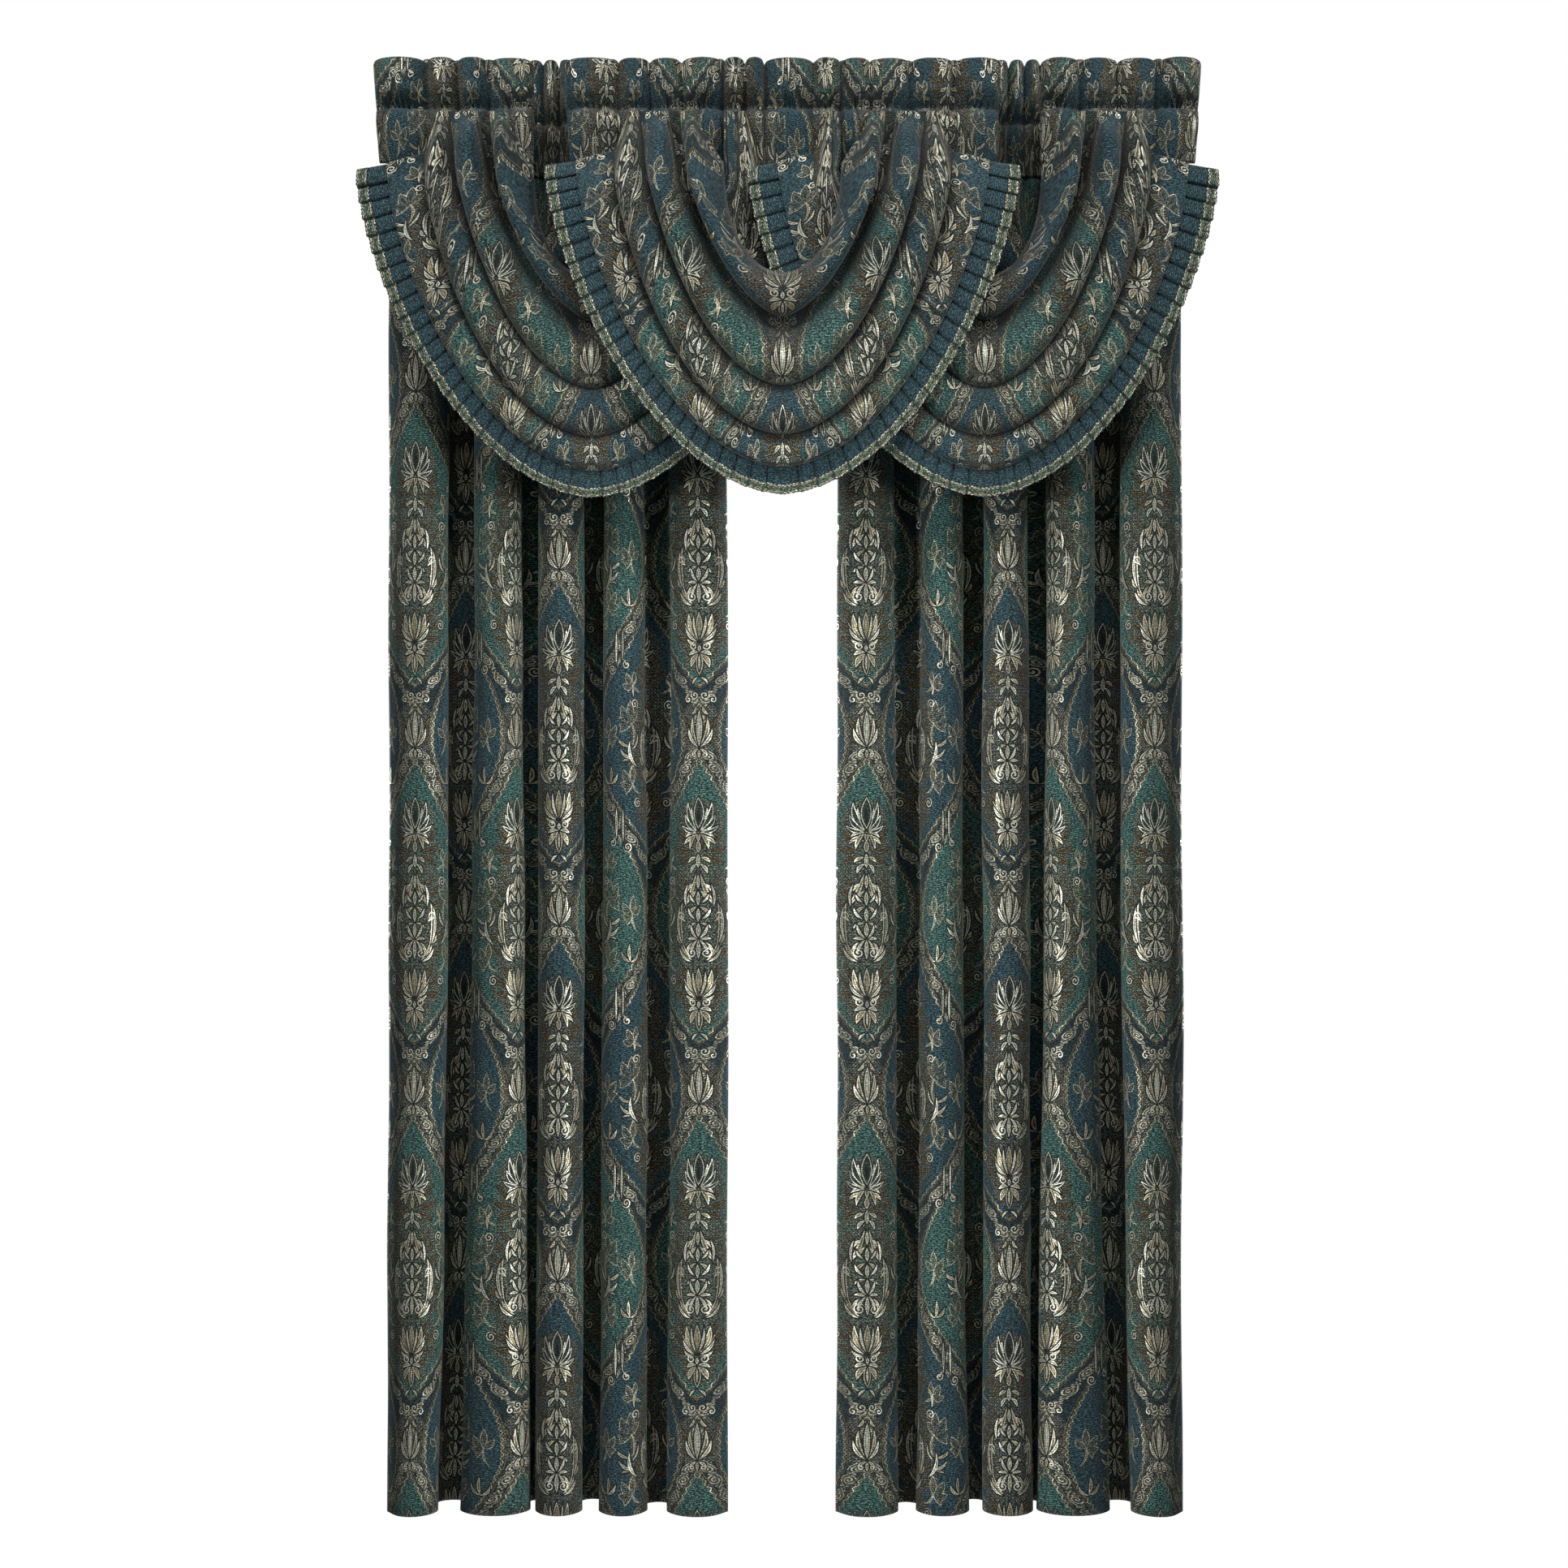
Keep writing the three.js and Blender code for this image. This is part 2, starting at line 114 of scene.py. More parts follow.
# %% [markdown]
# ## A sheet of cloth
# Cloth is a closed sheet: a grid of middle points moved half the thickness each way along
# the grid's normals, and joined round its four rims. Solidify could do this too. Doing it
# here keeps the two faces apart, so the reverse gets its own material and both get a UV map
# in metres of flat cloth, which is what the woven figure is drawn in.

# %% Quads
FACE, REVERSE = 0, 1  # material slots


def grid_quads(rows, columns, start, flipped):
    """The corners of every quad of a grid whose points are numbered row by row."""
    row, column = np.mgrid[0 : rows - 1, 0 : columns - 1]
    corner = start + row * columns + column
    quads = np.stack([corner, corner + columns, corner + columns + 1, corner + 1], -1)
    quads = quads.reshape(-1, 4)
    return quads[:, ::-1] if flipped else quads


def rim_quads(front, back, flipped):
    """Quads between two rows of points that run along the same rim."""
    quads = np.stack([front[:-1], front[1:], back[1:], back[:-1]], -1)
    return quads[:, ::-1] if flipped else quads


def shell_quads(rows, columns, flipped=False, tube=False):
    """The quads of a closed shell on two grids of points, first the face's and then the
    reverse's, with their material slots and smooth flags. The rims join the two grids. A
    tube has only its side rims, because its last row is its first one again."""
    count = rows * columns
    number = np.arange(count).reshape(rows, columns)
    rims = [
        (number[0], not flipped),
        (number[-1], flipped),
        (number[:, 0], flipped),
        (number[:, -1], not flipped),
    ]
    if tube:
        rims = rims[2:]
    quads = [grid_quads(rows, columns, 0, not flipped)]
    quads.append(grid_quads(rows, columns, count, flipped))
    quads += [rim_quads(rim, rim + count, turned) for rim, turned in rims]
    sizes = [len(part) for part in quads]
    slots = np.repeat([FACE, REVERSE] + [FACE] * len(rims), sizes)
    smooth = np.repeat([True, True] + [False] * len(rims), sizes)
    return np.concatenate(quads), slots, smooth


print("a 3 x 3 sheet has", len(shell_quads(3, 3)[0]), "quads with its rims")

# %% Meshes from arrays
def mesh_object(name, points, quads, uv, slots, smooth, weld=None, painted_light=None):
    """A mesh in metres from points in millimetres. The quads number the UVs, and the
    points too unless weld gives each number's point: along a seam two UVs share one.
    The last argument is the share of painted light: 1 on open cloth, and 0 deep in a crease, where
    the darkest shade is painted into the colour."""
    corners = quads if weld is None else weld[quads]
    mesh = bpy.data.meshes.new(name)
    mesh.vertices.add(len(points))
    mesh.vertices.foreach_set("co", (points * MM).astype(np.float32).ravel())
    mesh.loops.add(quads.size)
    mesh.loops.foreach_set("vertex_index", corners.astype(np.int32).ravel())
    mesh.polygons.add(len(quads))
    mesh.polygons.foreach_set("loop_start", np.arange(0, quads.size, 4, dtype=np.int32))
    mesh.update(calc_edges=True)
    mesh.polygons.foreach_set("material_index", slots.astype(np.int32))
    mesh.polygons.foreach_set("use_smooth", smooth)
    layer = mesh.uv_layers.new(name="cloth")
    layer.data.foreach_set("uv", (uv[quads.ravel()] * MM).astype(np.float32).ravel())
    # painted shade: this attribute darkens the cloth's colour in creases and tucks
    attribute = mesh.attributes.new("painted_light", "FLOAT", "POINT")
    painted_light = np.ones(len(points)) if painted_light is None else painted_light
    attribute.data.foreach_set("value", painted_light.astype(np.float32).ravel())
    mesh.validate()
    piece = bpy.data.objects.new(name, mesh)
    bpy.context.scene.collection.objects.link(piece)
    return piece


def cloth_sheet(name, middle, thickness, uv, painted_light=None, towards=(0, -1, 0)):
    """A closed sheet on a grid of middle points (rows, columns, 3), with UVs (rows,
    columns, 2): each point plus and minus half the thickness times its normal. Its face
    looks towards the given direction on the whole."""
    normals = grid_normals(middle)
    flipped = float((normals @ np.array(towards, float)).mean()) < 0
    if flipped:
        normals = -normals
    face = middle + normals * thickness / 2
    reverse = middle - normals * thickness / 2
    points = np.concatenate([face.reshape(-1, 3), reverse.reshape(-1, 3)])
    uv = np.concatenate([uv.reshape(-1, 2)] * 2)
    if painted_light is not None:
        painted_light = np.concatenate([painted_light.ravel()] * 2)
    quads, slots, smooth = shell_quads(*middle.shape[:2], flipped)
    return mesh_object(name, points, quads, uv, slots, smooth, painted_light=painted_light)


# %% [markdown]
# ## The panels
# A ready-made panel is cut about two and a half times as wide as it hangs. Under the rod
# pocket the fulness is in many small gathers. A hand's length lower they have run together
# into five deep folds with narrow, dark valleys between them, and these open a little
# towards the hem. Each level's section is drawn through a few points per fold with a
# Catmull-Rom curve, and the whole panel is one grid of such sections.

# %% Panel sections
CLOTH = 2.0  # thickness of the chenille jacquard
BACK_ROD_Y = frame["record"]["mounts"][1]["pos_m"][1] / MM
PANEL_FRONT_Y = 38  # the folds' fronts
FOLDS_START = -330  # the gathers have opened into folds here
FOLDS_UPPER = -533  # the upper widths of the fold table hold down to here
FOLDS = [
    # from and to across the panel above, and at the hem, then how far the fold stands
    # back, and how deep the valley after it is
    (1, 87, 0, 73, 0, 78),
    (128, 196, 105, 208, 5, 72),
    (223, 287, 219, 287, 4, 78),
    (320, 379, 311, 383, 4, 64),
    (419, 501, 414, 502, 0, 0),
]
FOLD_FLARE = 2  # the folds spread mostly near the hem
FOLD_CORNER_BACK = 24  # a fold's edges lie this far behind its front
FOLD_FLAT = 0.3  # share of a fold's width from its edge to the start of its flat front
VALLEY_UNDERCUT = 5  # how far a valley reaches in behind the folds beside it
VALLEY_ROUND = 12  # how far the valley's corners lie before its bottom
FOLD_WANDER = 2.5  # how far a fold's edges stray from a straight fall
WANDER_LENGTHS = (1100, 620, 370)


def fold_points(z, seed):
    """The points of the section at each height: four round the front of a fold and three
    in the valley after it. The edges wander a little with height."""
    share = np.clip((FOLDS_UPPER - z) / (FOLDS_UPPER - z.min()), 0, 1) ** FOLD_FLARE

    def edge(upper, lower, number):
        stray = waves(z, z * 0 + 500 * number, WANDER_LENGTHS, seed + number)
        return mix(upper, lower, share) + FOLD_WANDER * stray

    edges = [
        (edge(up0, hem0, 2 * i), edge(up1, hem1, 2 * i + 1))
        for i, (up0, up1, hem0, hem1, _, _) in enumerate(FOLDS)
    ]
    points = []
    for i, (start, end) in enumerate(edges):
        front = PANEL_FRONT_Y + FOLDS[i][4] + 0 * z
        around = (end - start) * FOLD_FLAT
        points += [(start, front + FOLD_CORNER_BACK), (start + around, front)]
        points += [(end - around, front), (end, front + FOLD_CORNER_BACK)]
        if i + 1 < len(FOLDS):
            following = edges[i + 1][0]
            bottom = front + FOLDS[i][5]
            points.append((end - VALLEY_UNDERCUT, bottom - VALLEY_ROUND))
            points.append(((end + following) / 2, bottom))
            points.append((following + VALLEY_UNDERCUT, bottom - VALLEY_ROUND))
    return np.stack([np.stack(point, -1) for point in points], 1)


print(len(FOLDS), "folds,", len(FOLDS) - 1, "valleys, front at", PANEL_FRONT_Y, "mm")

# %% A smooth curve
def catmull_rom(points, t):
    """A smooth curve through points (rows, n, 2) at places t from 0 to n - 1. Each stretch
    is the cubic that leaves its two points along the chords of their neighbours."""
    last = points.shape[1] - 1
    first = np.clip(np.floor(t).astype(int), 0, last - 1)
    s = (t - first)[None, :, None]
    p0 = points[:, np.maximum(first - 1, 0)]
    p1 = points[:, first]
    p2 = points[:, first + 1]
    p3 = points[:, np.minimum(first + 2, last)]
    return 0.5 * (
        2 * p1
        + (p2 - p0) * s
        + (2 * p0 - 5 * p1 + 4 * p2 - p3) * s**2
        + (3 * p1 - p0 - 3 * p2 + p3) * s**3
    )


def even_places(points, count):
    """Places along a Catmull-Rom curve that lie at equal distances on its first row."""
    t = np.linspace(0, points.shape[1] - 1, 2000)
    lengths = arc_lengths(catmull_rom(points[:1], t), 1)[0]
    return np.interp(np.linspace(0, lengths[-1], count), lengths, t)


# %% Panel cloth
SEAM_REACH = 0.25  # closes the seam under the heading
GATHERED_ROWS, FOLDED_ROWS, PANEL_COLUMNS = 46, 96, 231
PANEL_GATHERS = 23
GATHER_DEPTH = 7.5
GATHER_UNEVEN, GATHER_TURNS = 0.9, 9  # how unevenly the gathers lie along the rod
SEWN_START, SEWN_END = -2, 18  # the gathers deepen over this stretch below the seam
PANEL_RIPPLE, RIPPLE_LENGTHS = 0.8, (190, 130, 85)
PANEL_CUT = (1.27, 1.985)  # metres of cloth: width, and length without the header
PANEL_COLUMNS_AT = (
    # where the folds take up the figure: places along the section's points, and the places
    # in the cloth that lie there; columns are 158.75 apart and the even ones are green
    (0, 1.5, 5, 15.5, 29.5, 31),
    (-385, -317.5, -158.75, 158.75, 635, 680),
)
PANEL_DROP_SCALE, PANEL_DROP = 0.985, 113.4  # how long the figure hangs, and its start


def panel_grid(node, mirrored, seed):
    """The middle of a panel's cloth and its UVs. Above, the cloth runs in even gathers
    along the back rod; below, it follows the fold sections; between, one eases into the
    other. U is the distance along the cloth from its outer edge, V the distance up."""
    low, high = span(node)
    top, hem, sign = high[2], low[2], -1 if mirrored else 1
    z = np.concatenate([
        np.linspace(top + SEAM_REACH, FOLDS_START, GATHERED_ROWS)[:-1],
        np.linspace(FOLDS_START, hem, FOLDED_ROWS),
    ])
    points = fold_points(z, seed)
    places = even_places(points[-1:], PANEL_COLUMNS)
    folded = catmull_rom(points, places)
    share = np.linspace(0, 1, PANEL_COLUMNS)[None, :]
    width = FOLDS[-1][1]
    opened = ease(z, top, FOLDS_START)[:, None]
    fade = np.sqrt(np.clip(1 - opened, 0, 1)) * (1 - opened)
    uneven = GATHER_UNEVEN * np.sin(GATHER_TURNS * share)
    gathers = np.sin(2 * math.pi * PANEL_GATHERS * share + uneven)
    across = mix(share * width, folded[..., 0], opened)
    sewn = ease(top - z, SEWN_START, SEWN_END)[:, None]
    y = mix(BACK_ROD_Y, folded[..., 1], opened) + GATHER_DEPTH * gathers * fade * sewn
    down = z[:, None] + 0 * across
    ripple = waves(share * PANEL_CUT[0] / MM, down, RIPPLE_LENGTHS, seed + 50)
    y = y + PANEL_RIPPLE * ripple * opened
    scale = (high[0] - low[0] - CLOTH / 2) / width
    outer = high[0] - CLOTH / 4 if mirrored else low[0] + CLOTH / 4
    x = outer + sign * scale * across
    length = share * arc_lengths(folded[-1:], 1)[0, -1]
    marks, columns_at = PANEL_COLUMNS_AT
    marks = np.interp(marks, places, length[0])
    uv_u = sign * np.interp(length, marks, columns_at) + 0 * down
    uv_v = PANEL_DROP_SCALE * down - PANEL_DROP
    return np.stack([x, y, down], -1), np.stack([uv_u, uv_v], -1)


print("a panel's grid:", GATHERED_ROWS - 1 + FOLDED_ROWS, "rows of", PANEL_COLUMNS)

# %% [markdown]
# ## Headers
# A header is one strip of cloth turned over on itself: up the front, over the heading's
# free edge and down the back, with a row of stitches that closes the rod pocket under the
# heading. Gathered on its rod it bunches into lobes with creases between them, which are
# sharpest at the stitches. It is a tube with thin walls, open at both ends.

# %% Header section
STITCH = 14  # height of the stitches over the rod's line
SECTION = [
    # height, half width of the outer face
    (-66, 2.7),
    (-56, 6.0),
    (-40, 10.5),
    (-22, 14.6),
    (-6, 16.6),
    (3, 15.6),
    (9, 10.5),
    (12.5, 4.8),
    (14, 2.5),
    (16, 3.0),
    (24, 4.2),
    (45, 4.4),
    (70, 3.6),
    (81, 2.8),
    (84, 1.4),
]
POCKET_LOW, HEADING_TOP = SECTION[0][0], SECTION[-1][0]
WALL = 1.8
HEADER_ROWS = 46  # from the seam to the free edge, on each side
HEADER_STEP = 2.6  # from column to column
HEADER_REACH = 0.36  # added at each end, so that neighbours on the rod all but touch
THINNEST = 0.35  # the least half width of the inner face


def lobe_swell(x, edges, power):
    """0 at the creases and 1 in the middle of each lobe: the sine over the lobe's own
    width, raised to a power under 1 so that the creases are sharp."""
    lobe = np.clip(np.searchsorted(edges, x, side="right") - 1, 0, len(edges) - 2)
    start, end = edges[lobe], edges[lobe + 1]
    share = np.clip((x - start) / (end - start), 0, 1)
    return np.sin(math.pi * share) ** power, lobe


print("a header reaches from", POCKET_LOW, "to", HEADING_TOP, "mm")

# %% Lobes and creases
LOBE_POWER = 0.6
BULGES = (0.6, 1.15)  # how full a lobe is, at least and at most
LOBE_FORWARD, LOBE_FORWARD_LOST = 19, 0.25  # how far, and the share lost at the free edge
CREASE_POWER, CREASE_OPEN = 1.4, 0.45  # a crease keeps this share away from the stitches
POCKET_CREASE, POCKET_SLACK = 12, 0.9  # how a crease and a poor lobe narrow the pocket
HEADING_CREASE = 9  # how far back a crease lies above the pocket
PINCH_REACH = 16  # the stitches' pull dies away over this height
PUCKER_LENGTH, PUCKER_DEPTH = 10.5, 2.4
HEADER_RIPPLE, HEADER_RIPPLE_LENGTHS = 0.9, (57, 38, 26)
WANDER, STITCH_WANDER_LENGTHS = 1.5, (63, 36, 22)  # of the row of stitches, up and down
CREASE_SAG = 2  # how much lower the stitches lie in a crease
WANDER_REACH = 18
HEADING_DIP = 6  # how much lower the free edge is in a crease
GATHER_SHIFT = 4.5  # how far the stitches draw cloth into a crease
PAINTED_STITCH_SHADE, PAINTED_STITCH_SHADE_REACH = 0.5, 4  # painted shade along the stitches: how much darker, and over what height it fades
NEXT_STRIP = 61.0  # so that each header is cut from another place of the figure


def header_sheet(name, node, lobes, leans, rod_y, seed, fulness, allowance=0, rise=0):
    """A header's tube. Its section is the table above, mirrored front to back, and both
    sides move together: lobes stand forward above the stitches and swell below them.
    The allowance is how far the pocket's lower edge reaches under the cloth below it,
    and the rise how much taller the heading's free edge stands."""
    low, high = span(node)
    low_x, high_x = low[0] - HEADER_REACH, high[0] + HEADER_REACH
    width = high_x - low_x
    edges = low_x + np.concatenate([[0], np.cumsum(lobes)]) / sum(lobes) * width
    bulges = np.random.default_rng(seed).uniform(*BULGES, len(lobes))
    columns = int(width / HEADER_STEP)
    x = np.linspace(low_x, high_x, columns)[None, :]
    heights, halves = np.array(SECTION, float).T
    path = np.concatenate([[0], np.cumsum(np.hypot(np.diff(heights), np.diff(halves)))])
    even = np.linspace(0, path[-1], HEADER_ROWS)
    z_side = np.interp(even, path, heights)
    half_side = np.interp(even, path, halves)
    z = np.concatenate([z_side, z_side[::-1]])[:, None]
    half_outer = np.concatenate([half_side, half_side[::-1]])[:, None]
    side = np.repeat([-1.0, 1.0], HEADER_ROWS)[:, None]
    from_stitches = np.abs(z - STITCH)
    swell, lobe = lobe_swell(x, edges, LOBE_POWER)
    pinch = np.exp(-from_stitches / PINCH_REACH)
    crease = (1 - swell) ** CREASE_POWER * (CREASE_OPEN + (1 - CREASE_OPEN) * pinch)

    def ring(wall):
        """The loop of one face: up the front and down the back, as (2 rows, columns)."""
        in_pocket = ease(z, STITCH, STITCH - 12) * ease(z, POCKET_LOW, -40)
        narrowed = POCKET_CREASE * crease + POCKET_SLACK * (1 - bulges[lobe])
        half = np.maximum(half_outer - in_pocket * narrowed - wall, THINNEST)
        above = ease(z, STITCH - 4, STITCH + 26)
        forward = LOBE_FORWARD * bulges[lobe] * swell * above
        forward = forward * (1 - LOBE_FORWARD_LOST * ease(z, 60, HEADING_TOP))
        forward = forward - HEADING_CREASE * crease * ease(z, STITCH - 30, STITCH + 4)
        pucker = np.sin(2 * math.pi * x / PUCKER_LENGTH + 2.5 * np.sin(x / 31) + seed)
        forward = forward + PUCKER_DEPTH * pucker * pinch
        ripple = HEADER_RIPPLE * waves(x, z, HEADER_RIPPLE_LENGTHS, seed)
        y = rod_y - forward - ripple * ease(from_stitches, 0, 30) + side * half
        dip = HEADING_DIP * (1 - swell) ** 2 * ease(z, 50, HEADING_TOP)
        top = wall * ease(z, 70, HEADING_TOP)
        bottom = wall * (1 - ease(z, POCKET_LOW, POCKET_LOW + 8))
        height = z - dip - top + bottom - allowance * ease(z, -52, POCKET_LOW)
        wander = WANDER * waves(x, 0 * x, STITCH_WANDER_LENGTHS, seed + 5)
        wander = wander - CREASE_SAG * (1 - swell)
        height = height + wander * np.exp(-from_stitches / WANDER_REACH)
        lean = mix(leans[0], leans[1], (x - low_x) / width)
        shift = lean * (HEADING_TOP - height) / (HEADING_TOP - POCKET_LOW)
        start, end = edges[lobe], edges[lobe + 1]
        gather = GATHER_SHIFT * np.sin(2 * math.pi * (x - start) / (end - start)) * pinch
        height = height + rise * np.clip((height - STITCH) / (HEADING_TOP - STITCH), 0, 1)
        return np.stack([x + gather + shift, y, height + 0 * x], -1)

    outer, inner = ring(0.0), ring(WALL)
    points = np.concatenate([outer.reshape(-1, 3), inner.reshape(-1, 3)])
    outer = np.concatenate([outer, outer[:1]])
    rows = len(outer)
    quads, slots, smooth = shell_quads(rows, columns, tube=True)
    around_once = np.arange(rows * columns) % ((rows - 1) * columns)
    weld = np.concatenate([around_once, around_once + (rows - 1) * columns])
    along = (x - low_x) * fulness + NEXT_STRIP * seed + 0 * outer[..., 0]
    uv = np.stack([along, arc_lengths(outer, 0)], -1).reshape(-1, 2)
    # painted shade: the colour is darkened along the stitches and in the creases between lobes
    painted_stitch_shade = PAINTED_STITCH_SHADE * np.exp(-from_stitches / PAINTED_STITCH_SHADE_REACH)
    painted_light = ((1 - crease) * (1 - painted_stitch_shade)).ravel()
    uv, painted_light = np.concatenate([uv] * 2), np.concatenate([painted_light] * 2)
    return mesh_object(name, points, quads, uv, slots, smooth, weld, painted_light)


# %% [markdown]
# ## Swags
# The cloth of a swag is held at its two ends by the pockets' stitches and falls between
# them in a set of hanging lines, one inside the other: the neck edge, four rolls with
# tucks between them, and the hem. Each line is the lower half of a superellipse. Going
# from line to line the cloth comes forward onto a roll and goes back into a tuck. A
# quarter of a superellipse does this too: it is round on the roll and sharp in the tuck.

# %% Swag lines
SWAG_LINES = np.array([
    # reach, top, low, square, root, forward at the sides, forward below
    (84, -79, -236, 2.0, 0.46, 3, 6),  # neck edge
    (131, 4, -244, 1.85, 0.66, 36, 34),  # neck roll
    (149, 4, -301, 1.58, 0.62, -8, -6),  # neck tuck, upper side
    (163, 4, -320, 1.6, 0.62, -8, -6),  # neck tuck, lower side
    (178, 4, -346, 1.82, 0.7, 37, 35),  # second roll
    (207, 4, -396, 1.85, 0.68, -6, -3),  # second tuck
    (222, 4, -425, 1.9, 0.67, 33, 33),  # first roll
    (245, -58, -465, 1.87, 0.67, -4, -2),  # first tuck
    (266, -62, -489, 1.87, 0.67, 10, 23),  # low roll
    (298, -72, -518, 1.82, 0.67, 7, 9),  # hem
], float)
ROLLS = (1, 4, 6, 8)  # rows of the table that are rolls
PAINTED_LIGHT_LINE = (  # places between the rows, and the share of painted light there: painted shade darkens the tucks
    (0, 0.3, 1, 1.6, 1.9, 2, 3, 3.15, 3.5, 4, 4.6, 4.9, 5, 5.1, 5.5, 6, 6.6, 6.9, 7, 7.15, 7.5, 9),
    (0.4, 0.8, 1, 0.8, 0.4, 0, 0, 0.4, 0.8, 1, 0.8, 0.4, 0, 0.4, 0.8, 1, 0.8, 0.4, 0, 0.5, 1, 1),
)
TRIM_LINE = np.array([342, -80, -556, 1.82, 0.67, 6, 8], float)  # the ruffle's free edge
NECK_REACH, TUCK_REACH, ROLL_REACH = SWAG_LINES[0, 0], SWAG_LINES[7, 0], SWAG_LINES[6, 0]
ROLL_SHAPE = 1.9  # power of the superellipse: 2 is a round roll, more is fuller


def line_at(place):
    """The swag's line at places from 0, the neck edge, to 9, the hem. Widths and heights
    run straight from row to row; what stands forward follows a quarter superellipse."""
    last = len(SWAG_LINES) - 1
    first = np.clip(np.floor(place).astype(int), 0, last - 1)
    share = place - first
    to_roll = np.isin(first + 1, ROLLS)
    climb = (1 - np.where(to_roll, 1 - share, share) ** ROLL_SHAPE) ** (1 / ROLL_SHAPE)
    curve = np.where(to_roll, climb, 1 - climb)
    line = mix(SWAG_LINES[first], SWAG_LINES[first + 1], share[..., None])
    forward = mix(SWAG_LINES[first, 5:], SWAG_LINES[first + 1, 5:], curve[..., None])
    return np.concatenate([line[..., :5], forward], -1)


print("a swag has", len(ROLLS), "rolls and hangs", -SWAG_LINES[-1, 2], "mm at its hem")

# %% The three swags
SWAGS = {
    # layer: how far the cloth stands before the rod's line, at the low-X and the high-X end
    # relief: how much of the rolls' depth each end has
    # squeeze: at an end that is gathered to one side, where its inner and its outer lines
    # start, how crowded they are, and how much lower the outer ones start
    "valance_left": dict(
        layer=(22, 20),
        relief=(1, 0.15),
        squeeze=(None, dict(inner=-86, outer=-31, crowd=4, drop=22)),
    ),
    "valance_right": dict(
        layer=(40, 22),
        relief=(0.2, 1),
        squeeze=(dict(inner=78, outer=41.5, crowd=6, drop=0), None),
    ),
    "valance_centre": dict(layer=(59, 59), relief=(1, 1), squeeze=(None, None)),
}
POCKET_FACE = 18.4  # every swag starts here, on its pockets' fronts
LAYER_START, LAYER_FULL = -20, -130  # and has reached its own layer at the second height
SQUEEZE_END, SPREAD_END = -86, -165
PLEAT_OPENING = 46  # a pleat's crest has come forward this far below the stitches
SIDES_LATE, FULL_SIDE = 1.4, 36  # a pleat that stands less than 36 forward opens later


def swag_points(swag, line, angle, centre_x):
    """Points of a swag for lines (..., 7) and angles from 0 at the low-X end to half a
    turn at the high-X end. lean is the cosine of the angle, and hang, from 0 at the ends
    to 1 in the middle, is the superellipse (1 - |lean|^square)^root."""
    reach, top, low, square, root, side, below = np.moveaxis(line, -1, 0)
    lean = np.cos(angle)
    to_high = (1 - lean) / 2
    hang = (1 - np.abs(lean) ** square) ** root
    x = centre_x - lean * reach
    ends = zip(swag["squeeze"], (lean > 0, lean <= 0))
    squeezes = [(squeeze, here) for squeeze, here in ends if squeeze]
    outer_lines = ease(reach, ROLL_REACH, TUCK_REACH)
    for squeeze, here in squeezes:
        top = top - here * squeeze["drop"] * outer_lines * np.abs(lean)
    z = mix(top, low, hang)
    across = np.clip((reach - NECK_REACH) / (TUCK_REACH - NECK_REACH), 0, 1)
    for squeeze, here in squeezes:
        gathered = mix(squeeze["inner"], squeeze["outer"], across ** squeeze["crowd"])
        held = (1 - ease(z, SQUEEZE_END, SPREAD_END)) * (reach <= TUCK_REACH) * here
        x = mix(x, gathered, held)
    own_layer = mix(swag["layer"][0], swag["layer"][1], to_high)
    layer = mix(POCKET_FACE, own_layer, ease(z, LAYER_START, LAYER_FULL))
    relief = mix(swag["relief"][0], swag["relief"][1], to_high)
    late = 1 + SIDES_LATE * (1 - np.clip(side / FULL_SIDE, 0, 1))
    opened = ease(z, top, top - PLEAT_OPENING * late)
    lift = mix(side, below, hang) * relief * opened
    return np.stack([x, -layer - lift, z], -1), lift


# %% Swag cloth
SWAG_ROWS_PER_GAP = 17
SWAG_COLUMNS = 231
DROOP, DROOP_SIDES = 0.8, 0.35  # how far a roll sinks for each millimetre it stands out
DROOP_START, DROOP_FULL = -15, -110
HEM_STILL = 0.8  # the sinking dies away over this much of the last gap
SWAG_RIPPLE, SWAG_RIPPLE_LENGTHS = 1.3, (110, 70, 46)
RIPPLE_START, RIPPLE_FULL = -60, -140
CUT_SQUARE, CUT_ROOT = 1.85, 0.67  # the flat cut's lines are superellipses too
SWAG_NECK_DROP = 235.0  # cloth between the stitches and the neck edge's middle
SWAG_COLUMN = 158.75  # a blue column hangs in the middle of each swag
SWAG_DROP = 146.0  # where the repeat starts
SWAG_SCALE = 0.89  # brings a bunch of leaves onto the low roll at each side


